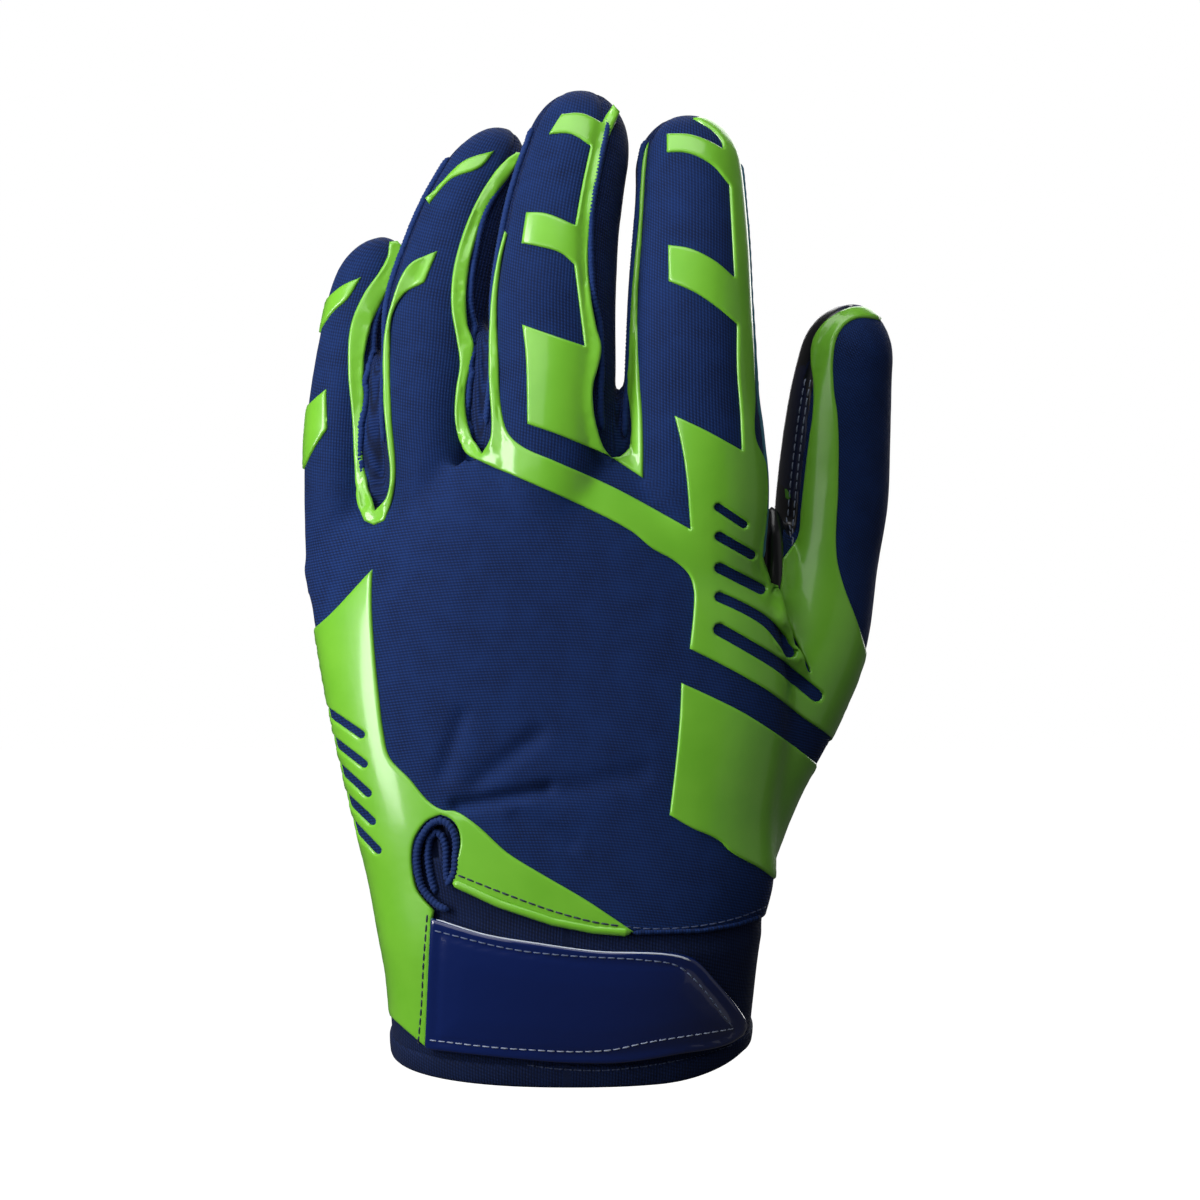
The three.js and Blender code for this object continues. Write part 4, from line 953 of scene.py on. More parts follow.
def led_round(under, x, z):
    """Where film goes that reaches past the glove's outline: on round the side, as far as it reaches."""
    for past in np.arange(LED_STEP, LED_REACH, LED_STEP):
        for way_x, way_z in ((-1, 0), (1, 0), (0, -1), (-0.7, -0.7), (0.7, -0.7)):
            if seen(under, x + way_x * past, z + way_z * past):
                near, far = past - LED_STEP, past
                for _ in range(9):
                    middle = (near + far) / 2
                    if seen(under, x + way_x * middle, z + way_z * middle):
                        far = middle
                    else:
                        near = middle
                edge = seen(under, x + way_x * far, z + way_z * far)
                return under.find_nearest(edge + Vector((0, LED_ROUND * far, 0)))[0]
    return under.find_nearest(Vector((x, 0, z)))[0]


def lay(places, surface=None):
    """Flat points (x, z) laid on the glove from the front, and which of them lie past its outline."""
    laid = np.empty((len(places), 3))
    past = np.zeros(len(places), bool)
    for i, (x, z) in enumerate(places):
        under = surface or shown_at(x, z)
        hit = seen(under, x, z)
        past[i] = hit is None
        laid[i] = led_round(under, x, z) if past[i] else hit
    return laid, past


def near_fold(x, z):
    """Whether a place is over a gap or over the thumb's fold."""
    if any(z > line[0][1] - 4 and abs(x - gap_x(name, z)) < GAP_REACH for name, line in GAP_LINES.items()):
        return True
    low, high = THUMB_FOLD_HEIGHTS
    return low < z < high and abs(x - np.interp(z, THUMB_FOLD[:, 1], THUMB_FOLD[:, 0])) < GAP_REACH


def face_sides(faces):
    """The three sides of each triangle."""
    return np.vstack([faces[:, [0, 1]], faces[:, [1, 2]], faces[:, [2, 0]]])


def mean_of_neighbours(values, edges):
    """For each point the mean of the values at the other ends of its edges."""
    total = np.zeros_like(values)
    count = np.zeros(len(values))
    for a, b in ((0, 1), (1, 0)):
        np.add.at(total, edges[:, a], values[edges[:, b]])
        np.add.at(count, edges[:, a], 1)
    return total / np.maximum(count, 1).reshape(-1, *[1] * (values.ndim - 1))


def drape(flat, laid, faces, past):
    """Stretch the film like a skin over the gaps and the thumb's fold, so that its edge there is clean."""
    zone = np.array([near_fold(x, z) for x, z in flat])
    if not zone.any():
        return
    cloth = np.where(past, np.inf, laid[:, 1])
    places = KDTree(len(flat))
    for i, (x, z) in enumerate(flat):
        places.insert((x, 0, z), i)
    places.balance()
    depth = laid[:, 1].copy()
    for i in np.flatnonzero(zone):
        around = [j for _, j, _ in places.find_range((flat[i, 0], 0, flat[i, 1]), DRAPE_REACH)]
        depth[i] = min(depth[i], laid[around, 1].min() + GAP_DROP)
    sides = face_sides(faces)
    for _ in range(DRAPE_ROUNDS):
        mean = mean_of_neighbours(depth, sides)
        depth[zone] = np.minimum(mean, cloth)[zone]
    laid[zone] = np.column_stack([flat[:, 0], depth, flat[:, 1]])[zone]
    past[zone] = False


def ease(laid, faces, past, surface):
    """Draw the edge of the part of a film that goes round the side even."""
    rim = rim_edges(faces)
    on_rim = np.zeros(len(laid), bool)
    on_rim[rim] = True
    for moved, edges in ((past & on_rim, rim), (past & ~on_rim, face_sides(faces))):
        for _ in range(EASE_ROUNDS):
            mean = mean_of_neighbours(laid, edges)
            for i in np.flatnonzero(moved):
                laid[i] = (surface or worn_surface).find_nearest(Vector((laid[i] + mean[i]) / 2))[0]


def loop_edges(loops_drawn):
    """The edges of closed lines whose points are numbered one line after another."""
    starts = np.cumsum([0] + [len(loop) for loop in loops_drawn])
    return [(start + i, start + (i + 1) % len(loop)) for loop, start in zip(loops_drawn, starts)
            for i in range(len(loop))]


# Rows of points along a film's edges: how far from the edge, and the least distance from any other edge.
EDGE_ROWS = (-0.95, -0.5, -0.18, 0.18, 0.5, 0.95)
EDGE_ROWS_APART = [0.9, 0.47, 0.16, 0.16, 0.47, 0.9]
EDGE_STEP = 0.7


def flat_sheet(outline, holes, grid):
    """A flat triangle mesh of an outline less its holes, with rows of points along its edges."""
    drawn = [flowing(line, EDGE_STEP) for line in (outline, *holes)]
    points = [np.vstack(drawn)]
    for loop in drawn:
        along = np.roll(loop, -1, 0) - np.roll(loop, 1, 0)
        normal = np.column_stack([-along[:, 1], along[:, 0]]) / np.linalg.norm(along, axis=1, keepdims=True)
        points += [loop + normal * reach for reach in EDGE_ROWS]
    low, high = drawn[0].min(0), drawn[0].max(0)
    xs, zs = np.meshgrid(np.arange(low[0], high[0], grid), np.arange(low[1], high[1], grid * 0.87))
    xs = xs + (np.arange(len(xs)) % 2)[:, None] * grid / 2
    points.append(np.column_stack([xs.ravel(), zs.ravel()]))
    edges = loop_edges(drawn)
    count = len(points[0])
    starts, ends = (points[0][[e[k] for e in edges]] for k in range(2))
    rows = np.vstack(points[1:-1])
    distance = edge_distance(starts, ends, rows)
    rows = rows[distance > np.repeat(EDGE_ROWS_APART * len(drawn),
                                     np.repeat([len(loop) for loop in drawn], len(EDGE_ROWS)))]
    field = points[-1][edge_distance(starts, ends, points[-1]) > EDGE_ROWS[-1] + 0.4 * grid]
    inner = np.vstack([rows, field])
    kept = inside(drawn[0], inner)
    for hole in drawn[1:]:
        kept &= ~inside(hole, inner)
    flat = np.vstack([points[0], inner[kept]])
    result = delaunay_2d_cdt([Vector(p) for p in flat], edges, [], 0, 1e-5)
    flat = np.array([tuple(p) for p in result[0]])
    faces = np.array([f for f in result[2] if len(f) == 3], np.int32)
    middle = flat[faces].mean(1)
    kept = inside(drawn[0], middle)
    for hole in drawn[1:]:
        kept &= ~inside(hole, middle)
    return compact(flat, faces[kept])


def rim_edges(faces):
    """Edges with a face on one side only, in the direction that their face has them."""
    sides = face_sides(faces)
    keys = np.sort(sides, axis=1)
    _, first, counts = np.unique(keys, axis=0, return_index=True, return_counts=True)
    return sides[first[counts == 1]]


def sheet_on(name, outline, surface, lift, height, rounding, holes=(), grid=1.1, shaped=None, sink=0.35):
    """A sheet of a given outline laid on a surface, with rounded edges and a skirt down to the cloth."""
    flat, faces = flat_sheet(np.asarray(outline), holes, grid)
    laid, past = lay(flat, surface)
    if surface is None:
        drape(flat, laid, faces, past)
    ease(laid, faces, past, surface)
    if face_normals(laid, faces)[:, 1].sum() > 0:
        faces = faces[:, ::-1]
    normals = point_normals(laid, faces)
    for _ in range(4):
        normals = normals + mean_of_neighbours(normals, face_sides(faces))
        normals /= np.linalg.norm(normals, axis=1, keepdims=True)
    rim = rim_edges(faces)
    depth = edge_distance(flat[rim[:, 0]], flat[rim[:, 1]], flat)
    rise = height * (0.3 + 0.7 * np.sqrt(1 - (1 - np.minimum(depth / rounding, 1)) ** 2))
    if shaped:
        rise = rise + shaped(flat, depth)
    top = laid + normals * (lift + rise)[:, None]
    rim_points, places = np.unique(rim, return_inverse=True)
    places = places.reshape(-1, 2) + len(top)
    skirt = laid[rim_points] + normals[rim_points] * (lift - sink)
    wall = [(b, a, c, d) for (a, b), (c, d) in zip(rim.tolist(), places.tolist())]
    return mesh_object(name, np.vstack([top, skirt]), faces.tolist() + wall)


def film_finish():
    """Green gel: smooth and wet looking, faintly uneven as it cures."""
    material = new_finish("green_film", "#66bd2b", 0.35, Specular_IOR_Level=0.5, Coat_Weight=0.65,
                          Coat_Roughness=0.12)
    tree = material.node_tree
    mixed_colour(tree, noise(tree, 90.0, 2.0), "#6dbb26", "#84cf3a")
    emboss(tree, noise(tree, 420.0, 1.0), 0.1, 0.4)
    return material


# Outlines (x, z) as they show from the back of the hand.
LITTLE_UPPER_TAB = [
    (-55.5, 160), (-50.3, 164.5), (-46.2, 166.4), (-49.2, 161.5), (-52.2, 158.9), (-56.1, 153.5)]
LITTLE_LOWER_TAB = [
    (-59.1, 137.4), (-53.5, 142.1), (-53.2, 133.5), (-56.2, 129), (-58.9, 123.8)]
LITTLE_BAND = [
    (-40.1, 174.2), (-38.4, 174.4), (-37.1, 173.1), (-38, 169), (-40.4, 163.8), (-44.0, 155.9),
    (-45.3, 149.3), (-45.5, 144.1), (-45.3, 140.2), (-45.7, 134.2), (-45.4, 126.2), (-44.3, 120.4),
    (-42.7, 115.8), (-40.4, 118.5), (-39.5, 123), (-40.2, 131.2), (-40.7, 136.1), (-41, 143),
    (-41.1, 149.4), (-40.5, 155.9), (-39.1, 161.2), (-37.1, 166.4), (-35.1, 169.1), (-29.5, 171.6),
    (-32.2, 164.8), (-36.4, 162.5), (-39.1, 157.9), (-39.6, 149.3), (-39.2, 136.1), (-38.3, 123.6),
    (-39.1, 117.8), (-40.7, 113.7), (-43, 112.8), (-45, 113.7), (-46.2, 116.4), (-47.3, 126.3),
    (-47.9, 136.1), (-48.8, 146), (-48.3, 155.9), (-45.7, 162.5), (-40.7, 170.4)]
RING_UPPER_TAB = [
    (-32.2, 183.4), (-29.2, 186.2), (-23.9, 191.4), (-17.4, 193.7), (-20.3, 190.1), (-26.7, 187.5),
    (-31.4, 182.1)]
WEB_FILM = [
    (-14.4, 192.1), (-12.6, 193.4), (-11.2, 193.2), (-13.4, 189.4), (-17.4, 183.6), (-20.6, 176.9),
    (-22.6, 169), (-23.3, 162.5), (-23, 155.9), (-21.6, 151.4), (-22, 148), (-23.3, 142.1), (-23.2, 136.1),
    (-22, 131.6), (-19.7, 127.9), (-18, 130.9), (-17.7, 134.2), (-18.2, 142.8), (-18.3, 149.4),
    (-18.1, 156.9), (-17.6, 163.4), (-16.3, 170.9), (-15, 175.7), (-14.4, 175), (-15.5, 170.3),
    (-16.4, 163), (-16.6, 155.9), (-16.3, 149.3), (-15.4, 136.1), (-14.1, 132.2), (-11.4, 129.6),
    (-4.2, 126.3), (7.7, 121), (18.8, 115.1), (24.7, 111.8), (23.8, 123), (22.8, 129.6), (21.3, 136),
    (28.2, 132.7), (35.6, 128.6), (35.3, 136.1), (34.6, 146), (34.6, 155.7), (30, 159.5), (25.4, 162.5),
    (20.1, 164.8), (20, 172.6), (24.7, 171.8), (30, 169.1), (34.1, 165.6), (33.6, 175.7), (33.1, 185.8),
    (29.4, 190.1), (24.1, 192.7), (19.8, 192.9), (19.8, 196.9), (24.7, 196.7), (29.4, 195), (31.8, 193.6),
    (31.6, 195.0), (29.8, 197.5), (27.2, 199.3), (25.4, 200.4), (28.0, 200.6), (30.9, 199.4),
    (33.2, 196.7), (34.7, 193.4), (35.5, 190.0), (36.3, 182.8), (37.1, 172), (37.6, 161.2), (38.1, 149.4),
    (38.4, 139.8), (38.5, 131.2), (40.6, 126.2), (42.0, 117.4), (42.3, 104.1), (43.2, 99.5), (44.6, 93.2),
    (46.9, 88), (49.2, 83.2), (50.2, 81.1), (50.5, 81.3), (49.6, 83.4), (47.3, 88.2), (45.0, 93.4),
    (44.1, 99.0), (44.5, 101.5), (44.7, 105.6), (46.1, 107.5), (48.1, 110.5), (48.8, 116.3), (49.6, 123.8),
    (50.5, 131.2), (51.3, 137), (51.5, 143.4), (50.9, 147.9), (51.4, 152.7), (53.4, 156.1), (56.3, 158.4),
    (59.5, 159.7), (62.5, 159.8), (65.3, 158.4), (66.6, 156.9), (63.8, 157.5), (60.8, 157.4),
    (58.3, 156.0), (56.5, 153.3), (55.7, 149.3), (55.8, 141.9), (56.5, 137), (56.8, 131.2), (56.7, 121.3),
    (56.4, 105.6), (58, 99.1), (60.4, 92.7), (62.9, 84.7), (67.3, 81.3), (63.4, 72.7), (57.4, 64.1),
    (55.1, 67.1), (49.1, 71.4), (41.2, 77.4), (31.3, 83), (24.5, 86.4), (25.3, 94.2), (25.4, 98.6),
    (24.4, 102), (21.5, 104.9), (16.6, 107.7), (12.3, 111.2), (2.4, 116.4), (-10.8, 122.3), (-20.6, 126.6),
    (-22.6, 127.6), (-24.6, 130.9), (-25.6, 135.4), (-25.4, 141.5), (-24.6, 147.3), (-25.3, 152.7),
    (-26.4, 159.2), (-26.2, 166.4), (-24.6, 173.7), (-21.3, 182.3), (-17.4, 188.8)]
MIDDLE_FILM = [
    (-2.9, 201), (1.4, 201.2), (5.8, 199.2), (8.3, 203.3), (9.7, 201.7), (6.3, 193.5), (4.7, 185.5),
    (3.7, 178.9), (2.9, 171.8), (3, 165.8), (3.7, 159.9), (4.7, 154.6), (5.7, 150.7), (4.9, 146),
    (4, 142.8), (4, 137.5), (4.9, 132.9), (6.3, 129), (8, 126.9), (9.9, 127.5), (11.6, 129), (12.3, 132.9),
    (11.9, 137.4), (11.3, 142.8), (11.6, 149.3), (12.1, 159.1), (12.9, 169), (13.9, 178.9), (14.2, 185.5),
    (15.2, 193.7), (15.9, 195.2), (15.2, 188.8), (14.8, 182.3), (14.2, 172.4), (13.5, 162.5),
    (13.4, 152.7), (13.9, 142.8), (14.4, 136.1), (14.6, 129.6), (14.6, 122.7), (7, 127.6), (1.1, 130.1),
    (-4.2, 132.2), (-10, 134.2), (-10.4, 149.3), (-11.1, 155.4), (-4.7, 153.1), (2.1, 150.8), (0.8, 161.2),
    (-0.1, 168.3), (-2.9, 170.7), (-6.9, 172), (-11.3, 172.9), (-10.3, 179.6), (-6.2, 179.3), (0.1, 176.7),
    (1.5, 184.9), (3.4, 194.1), (-0.9, 196.7), (-5.5, 196.7)]
HEEL_FILM = [
    (22.7, 79.1), (28.8, 76.3), (36.3, 72.5), (46.1, 66), (52.2, 61.3), (56.5, 57.2), (53.1, 48.2),
    (48.4, 36.5), (42.7, 37), (39.8, 39.3), (32.9, 43.4), (30.7, 45.6), (24.7, 48.4), (20.2, 51.1),
    (21.5, 62.1), (22.4, 71.9)]
OUTER_EDGE_FILM = [
    (-43.2, 103.2), (-43.3, 96.3), (-42.7, 86.4), (-41.7, 76.5), (-40.7, 68.6), (-39.4, 63.3),
    (-35.1, 58.7), (-30.5, 53.5), (-27.9, 52.1), (-25.3, 51.8), (-21.3, 49.4), (-14.1, 43), (-7.5, 38.9),
    (2.4, 33.1), (12.7, 26.2), (4.1, 26.9), (-4.5, 28.8), (-16, 33.1), (-22.6, 35.7), (-26.4, 37.2),
    (-25.4, 40.6), (-24.5, 43.4), (-24.2, 46), (-24.9, 48.6), (-26.4, 50.3), (-28.4, 51.1), (-31, 50),
    (-32.9, 47.9), (-34.1, 45.6), (-34.6, 42.6), (-34.4, 38.9), (-33.5, 35), (-32, 32.9), (-29.9, 30.7),
    (-30.3, 28.4), (-31, 15), (-31.6, 1.3), (-39.3, 7.6), (-43.6, 10.8), (-46.2, 22), (-49.4, 33.8),
    (-54.4, 55.9), (-59.1, 75.2), (-60.6, 88.2), (-55.5, 90.9)]
# Slots in the film: half width, then the points of the middle line.
WEB_SLOTS = ((0.85, ((29.8, 117), (36.7, 112.4))), (1.0, ((29.9, 110.8), (38.5, 105.9))),
             (1.15, ((29.8, 104.1), (40.7, 98.5))),
             (1.1, ((29.8, 97.8), (36.3, 94.8), (40.8, 92.0), (43.6, 89.0), (46.6, 84.4))),
             (1.35, ((29.6, 91.1), (36.3, 87.3), (43.6, 82.8), (48.6, 78.8), (52.8, 75.4))))
EDGE_SLOTS = ((0.85, ((-62, 79.2), (-44.7, 67.6))), (0.85, ((-61, 73.9), (-44.1, 61.3))),
              (0.85, ((-60, 69.8), (-43.3, 55))), (0.85, ((-59, 64.2), (-42.4, 49))),
              (0.85, ((-58, 59.8), (-41.2, 42.8))))


def slot_outline(half, line):
    """A slot round a middle line, with rounded ends."""
    line = flowing(line, 1.0, False)
    along = np.gradient(line, axis=0)
    along /= np.linalg.norm(along, axis=1, keepdims=True)
    side = np.column_stack([-along[:, 1], along[:, 0]]) * half
    inner = line.copy()
    inner[0] += along[0] * half
    inner[-1] -= along[-1] * half
    turn = np.radians([60, 20, -20, -60])[:, None]
    far = inner[-1] + half * (np.cos(turn) * along[-1]) + np.sin(turn) * side[-1]
    near = inner[0] - half * (np.cos(turn) * along[0]) - np.sin(turn) * side[0]
    return np.vstack([inner + side, far, (inner - side)[::-1], near])


# The fold between index finger and thumb, along the slit in the film (x, z).
FOLD_LINE = np.array([(50.2, 81.1), (49.2, 83.2), (46.9, 88.0), (44.6, 93.2), (43.5, 99.5), (42.9, 104.1)])
FOLD_RIDGE = 0.9
FOLD_WIDTH = 2.2


def ridge_at_fold(flat, depth):
    """The index finger's film stands proud of the thumb's along the fold between them."""
    gone = edge_distance(FOLD_LINE[:-1], FOLD_LINE[1:], flat)
    left = flat[:, 0] < np.interp(flat[:, 1], FOLD_LINE[:, 1], FOLD_LINE[:, 0]) + 0.1
    fade = np.clip((flat[:, 1] - 80) / 4, 0, 1) * np.clip((106 - flat[:, 1]) / 6, 0, 1)
    return FOLD_RIDGE * np.exp(-(gone / FOLD_WIDTH) ** 2) * left * fade


green_film = film_finish()
# Name, outline, slots, and the solid pieces that the film stands for.
FILMS = (
    ("little_tip_film", LITTLE_UPPER_TAB, (), ("film_little_upper",)),
    ("little_side_film", LITTLE_LOWER_TAB, (), ("film_little_lower",)),
    ("little_ring_film", LITTLE_BAND, (), ("film_little_band", "film_little_ring", "film_ring_lower")),
    ("ring_tip_film", RING_UPPER_TAB, (), ("film_ring_upper",)),
    ("web_film", WEB_FILM, WEB_SLOTS, ("film_ring_band", "film_web", "film_thumb")),
    ("middle_film", MIDDLE_FILM, (), ("film_middle", "film_index_left")),
    ("heel_film", HEEL_FILM, (), ("film_heel",)),
    ("outer_edge_film", OUTER_EDGE_FILM, EDGE_SLOTS, ("film_outer_edge",)),
)
for name, outline, slots, nodes in FILMS:
    holes = [slot_outline(*slot) for slot in slots]
    film = sheet_on(name, outline, None, 0.05, FILM_HEIGHT, FILM_ROUNDING, holes, shaped=ridge_at_fold)
    set_in_place(film, green_film, "gel_green", *nodes)


# The strap. Patent fabric over hook tape, wrapped round the cuff from the outer edge and tapered to a
# rounded end below the thumb, with a line of stitches inside its edge.
STRAP = [(-30.0, 29.3), (-18.9, 26.0), (-7.4, 24.1), (4.1, 22.5), (23.6, 21.3), (25.4, 20.4), (28.9, 16.5),
         (34.9, 7.9), (35.4, 6.3), (34.5, 4.2), (31.6, 2.4), (21.4, 0.4), (9.9, -1.3), (-1.6, -1.3),
         (-16.0, -0.1), (-31.0, 1.4)]
STRAP_LIFT = 1.25
STRAP_HEIGHT = 1.2
STITCH_INSET = 2.3

strap_finish = new_finish("strap_patent", "#041c58", 0.2, Specular_IOR_Level=0.4, Coat_Weight=1.0,
                          Coat_Roughness=0.05)


def leathery(material, scale, strength):
    """A faint uneven grain under the gloss."""
    tree = material.node_tree
    emboss(tree, noise(tree, scale, 2.0), strength, 0.5)


leathery(strap_finish, 260.0, 0.12)


def stitched_in(flat, depth):
    """The seam pulls the strap in along its stitches, and it swells a little inside them."""
    pucker = 0.25 * np.exp(-((depth - STITCH_INSET) / 0.5) ** 2)
    return 0.35 * np.clip((depth - STITCH_INSET) / 5, 0, 1) - pucker


strap = sheet_on("closure_strap_patent", STRAP, worn_surface, STRAP_LIFT, STRAP_HEIGHT, 0.5,
                 shaped=stitched_in, sink=0.1, grid=0.9)
set_in_place(strap, strap_finish, "strap_patent", "closure_strap")

backing = np.array(STRAP) * (0.97, 0.92) + (-1.3, 0.9)
tape_finish = new_finish("hook_tape", "#c3cbd8", 0.85)
tape = sheet_on("hook_tape", backing, worn_surface, 0.1, STRAP_LIFT - 0.25, 0.3, sink=0.3)
set_in_place(tape, tape_finish, "strap_hook", "hook_backing")


# The vent. A keyhole in the back panel beside the strap, bound with a fat ribbed roll, over a second roll
# folded like a hairpin and a pleated gusset of stretch rib, so that the wrist opening can widen.
VENT_ROLL = [(-27.3, 35.9), (-25.7, 38.5), (-25.3, 42.0), (-25.2, 45.6), (-25.9, 47.8), (-27.1, 49.3),
             (-28.6, 49.9), (-30.3, 49.2), (-31.8, 47.5), (-33.0, 45.1), (-33.5, 42.4), (-33.3, 39.1),
             (-32.5, 35.7), (-31.0, 33.6), (-29.0, 31.8), (-26.6, 30.7)]
VENT_HAIRPIN = [(-29.9, 34.0), (-31.1, 38.3), (-31.6, 42.6), (-31.2, 46.0), (-29.8, 47.4), (-28.4, 46.5),
                (-27.7, 44.2), (-27.6, 40.4), (-27.4, 36.4)]
BINDING_RADIUS = 0.8
HAIRPIN_RADIUS = 0.8
TWIST_PITCH = 0.9
TWIST_DEPTH = 0.14


def reach_along(line):
    """How far along a line each of its points lies."""
    return np.concatenate([[0], np.cumsum(np.linalg.norm(np.diff(line, axis=0), axis=1))])


def resampled(line, step):
    """A line of points a step apart."""
    reach = reach_along(line)
    at = np.linspace(0, reach[-1], max(2, int(round(reach[-1] / step))))
    return np.column_stack([np.interp(at, reach, line[:, k]) for k in range(line.shape[1])])


def line_on(surface, places, lift):
    """Points of a line drawn onto a surface and raised above it, with the surface's directions there."""
    laid, normals = [], []
    for place in places:
        hit, normal, _, _ = surface.find_nearest(Vector(place))
        laid.append(hit)
        normals.append(normal)
    normals = np.array(normals)
    for _ in range(3):
        normals[1:-1] = (normals[:-2] + 2 * normals[1:-1] + normals[2:]) / 4
    normals /= np.linalg.norm(normals, axis=1, keepdims=True)
    return np.array(laid) + normals * lift, normals


def tube_along(line, normals, radius, sides=8, twist=None, taper=0.0):
    """Points and faces of a tube along a line, grooved like rope where it is twisted."""
    along = np.gradient(line, axis=0)
    along /= np.linalg.norm(along, axis=1, keepdims=True)
    side = np.cross(along, normals)
    side /= np.linalg.norm(side, axis=1, keepdims=True)
    up = np.cross(side, along)
    angles = np.arange(sides) * 2 * np.pi / sides
    reach = reach_along(line)
    size = np.full((len(line), sides), float(radius))
    if twist:
        size *= 1 + TWIST_DEPTH * np.cos(angles[None, :] + 2 * np.pi * reach[:, None] / twist)
    if taper:
        ends = np.minimum(reach, reach[-1] - reach)
        size *= np.sqrt(np.clip(ends / taper, 0.02, 1))[:, None]
    points = (line[:, None] + side[:, None] * (size * np.cos(angles))[..., None]
              + up[:, None] * (size * np.sin(angles))[..., None])
    return points.reshape(-1, 3), capped_faces(len(line), sides)


def joined(parts):
    """Several lots of points and faces as one."""
    starts = np.cumsum([0] + [len(points) for points, _ in parts])
    faces = [tuple(int(i + start) for i in face) for (_, lot), start in zip(parts, starts) for face in lot]
    return np.vstack([points for points, _ in parts]), faces


binding_finish = new_finish("binding_knit", "#142d62", 0.75, Sheen_Weight=0.05, Specular_IOR_Level=0.2)
leathery(binding_finish, 1500.0, 0.35)
vent_rolls = []
for corners, lift, radius in ((VENT_ROLL, 0.1, BINDING_RADIUS), (VENT_HAIRPIN, -1.1, HAIRPIN_RADIUS)):
    drawn = resampled(flowing(corners, 0.5, False), 0.22)
    line, normals = line_on(skin_surface, lay(drawn, skin_surface)[0], lift)
    vent_rolls.append(tube_along(line, normals, radius, sides=12, twist=TWIST_PITCH, taper=1.2))
binding = mesh_object("vent_binding_rolls", *joined(vent_rolls))
set_in_place(binding, binding_finish, "binding_navy", "vent_binding")


def pleated(flat, depth):
    """Hairpin pleats that run up the gusset, closer together towards the strap."""
    return 0.6 * np.sin((flat[:, 0] + 0.16 * (flat[:, 1] - 42)) * 2 * np.pi / 2.1) ** 3


vent_middle = VENT.mean(0)
gusset = sheet_on("vent_gusset_pleats", (VENT - vent_middle) * 1.28 + vent_middle, skin_surface, -3.4,
                  1.2, 0.3, grid=0.45, shaped=pleated, sink=0.1)
gusset_finish = new_finish("gusset_rib", "#14244d", 0.8, Sheen_Weight=0.1, Specular_IOR_Level=0.25)
leathery(gusset_finish, 1300.0, 0.5)
set_in_place(gusset, gusset_finish, "side_knit", "vent_gusset")


# The rolled edge of the back panel. The panel's lower edge is turned under over the cuff and sewn down.
ROLL_RADIUS = 0.5
GREEN_ROLL_RADIUS = 0.95
GREEN_ROLL_END = 12.0
ROLL_SIDES = 12
edge_x = np.linspace(-26, 39.6, 300)
edge_z = np.interp(edge_x, [-26, -16, -4.5, 4.1, 12.7, 27, 34.6, 41],
                   [36.9, 32.3, 28.5, 26.8, 26.1, 26.4, 27.6, 29.6])
edge_places = lay(np.column_stack([edge_x, edge_z]), skin_surface)[0]
roll_line, roll_normals = line_on(skin_surface, edge_places, 0.05)
green_share = edge_x < GREEN_ROLL_END
for roll_name, part, radius, roll_finish, roll_slot in (
        ("green_edge_roll", green_share, GREEN_ROLL_RADIUS, green_film, "gel_green"),
        ("panel_edge_roll", ~green_share, ROLL_RADIUS, back_knit_finish, "knit_navy")):
    roll = mesh_object(roll_name, *tube_along(roll_line[part], roll_normals[part], radius,
                                              sides=ROLL_SIDES, taper=1.2))
    weave = np.column_stack([edge_x[part], edge_z[part], np.zeros(part.sum())])
    give_weave(roll, np.repeat(weave, ROLL_SIDES, axis=0))
    set_in_place(roll, roll_finish, roll_slot)


# The welts. Where each side wall meets its neighbours the seam allowance is turned out and overlocked into a
# rounded cord on each side of the wall.
WELT_RADIUS = 0.75
# Radians round the finger that a welt stands past its seam, into the gap.
WELT_TURN = 0.14
welt_finish = new_finish("welt_overlock", "#16326c", 0.8, Sheen_Weight=0.05, Specular_IOR_Level=0.2)
leathery(welt_finish, 1200.0, 0.4)
# Finger, side of it, and the shares of its length between which the welt runs.
WELTS = (("little", "right", 0.26, 0.93), ("ring", "right", 0.27, 0.93), ("middle", "right", 0.3, 0.93),
         ("ring", "left", 0.3, 0.9), ("middle", "left", 0.3, 0.9), ("index", "left", 0.3, 0.93))
welts = []
for finger_name, side_name, start, end in WELTS:
    finger = FINGERS[finger_name]
    up = np.linspace(start, end, 240)
    seam = np.radians(read(finger["rows"], 6 if side_name == "right" else 5, up))
    turn = WELT_TURN if side_name == "right" else -WELT_TURN
    line, normals = line_on(finger_surfaces[finger_name], finger_point(finger, up, seam + turn), 0.1)
    line = resampled(np.column_stack([line, normals]), 0.28)
    welts.append(tube_along(line[:, :3], line[:, 3:], WELT_RADIUS, twist=TWIST_PITCH, taper=1.5))
welt = mesh_object("side_wall_welts", *joined(welts))
set_in_place(welt, welt_finish, "side_knit")


# The palm's edge. Along the index finger's outer side the coated palm ends in a bare cut edge, which shows
# from the back as a thin pale teal line.
PALM_EDGE_RADIUS = 0.5
PALM_EDGE_ANGLE = 92
edge_up = np.linspace(0.05, 0.9, 200)
palm_edge_line = line_on(finger_surfaces["index"],
                         finger_point(FINGERS["index"], edge_up, math.radians(PALM_EDGE_ANGLE)), 0.45)
palm_edge = mesh_object("palm_cut_edge", *tube_along(*palm_edge_line, PALM_EDGE_RADIUS, taper=1.5))
edge_finish = new_finish("palm_cut_edge", "#4f8399", 0.75, Specular_IOR_Level=0.2)
leathery(edge_finish, 700.0, 0.4)
set_in_place(palm_edge, edge_finish, "palm_grip")


# The stitches. Lockstitch in thread of the colour that each piece asks for, each stitch a small rounded bar.
STITCH_PITCH = 1.95
STITCH_LENGTH = 1.45
THREAD_RADIUS = 0.15
FILM_THREAD_RADIUS = 0.22
STRAP_EDGE_RADIUS = 0.22
GREEN_STITCHES_END = 9


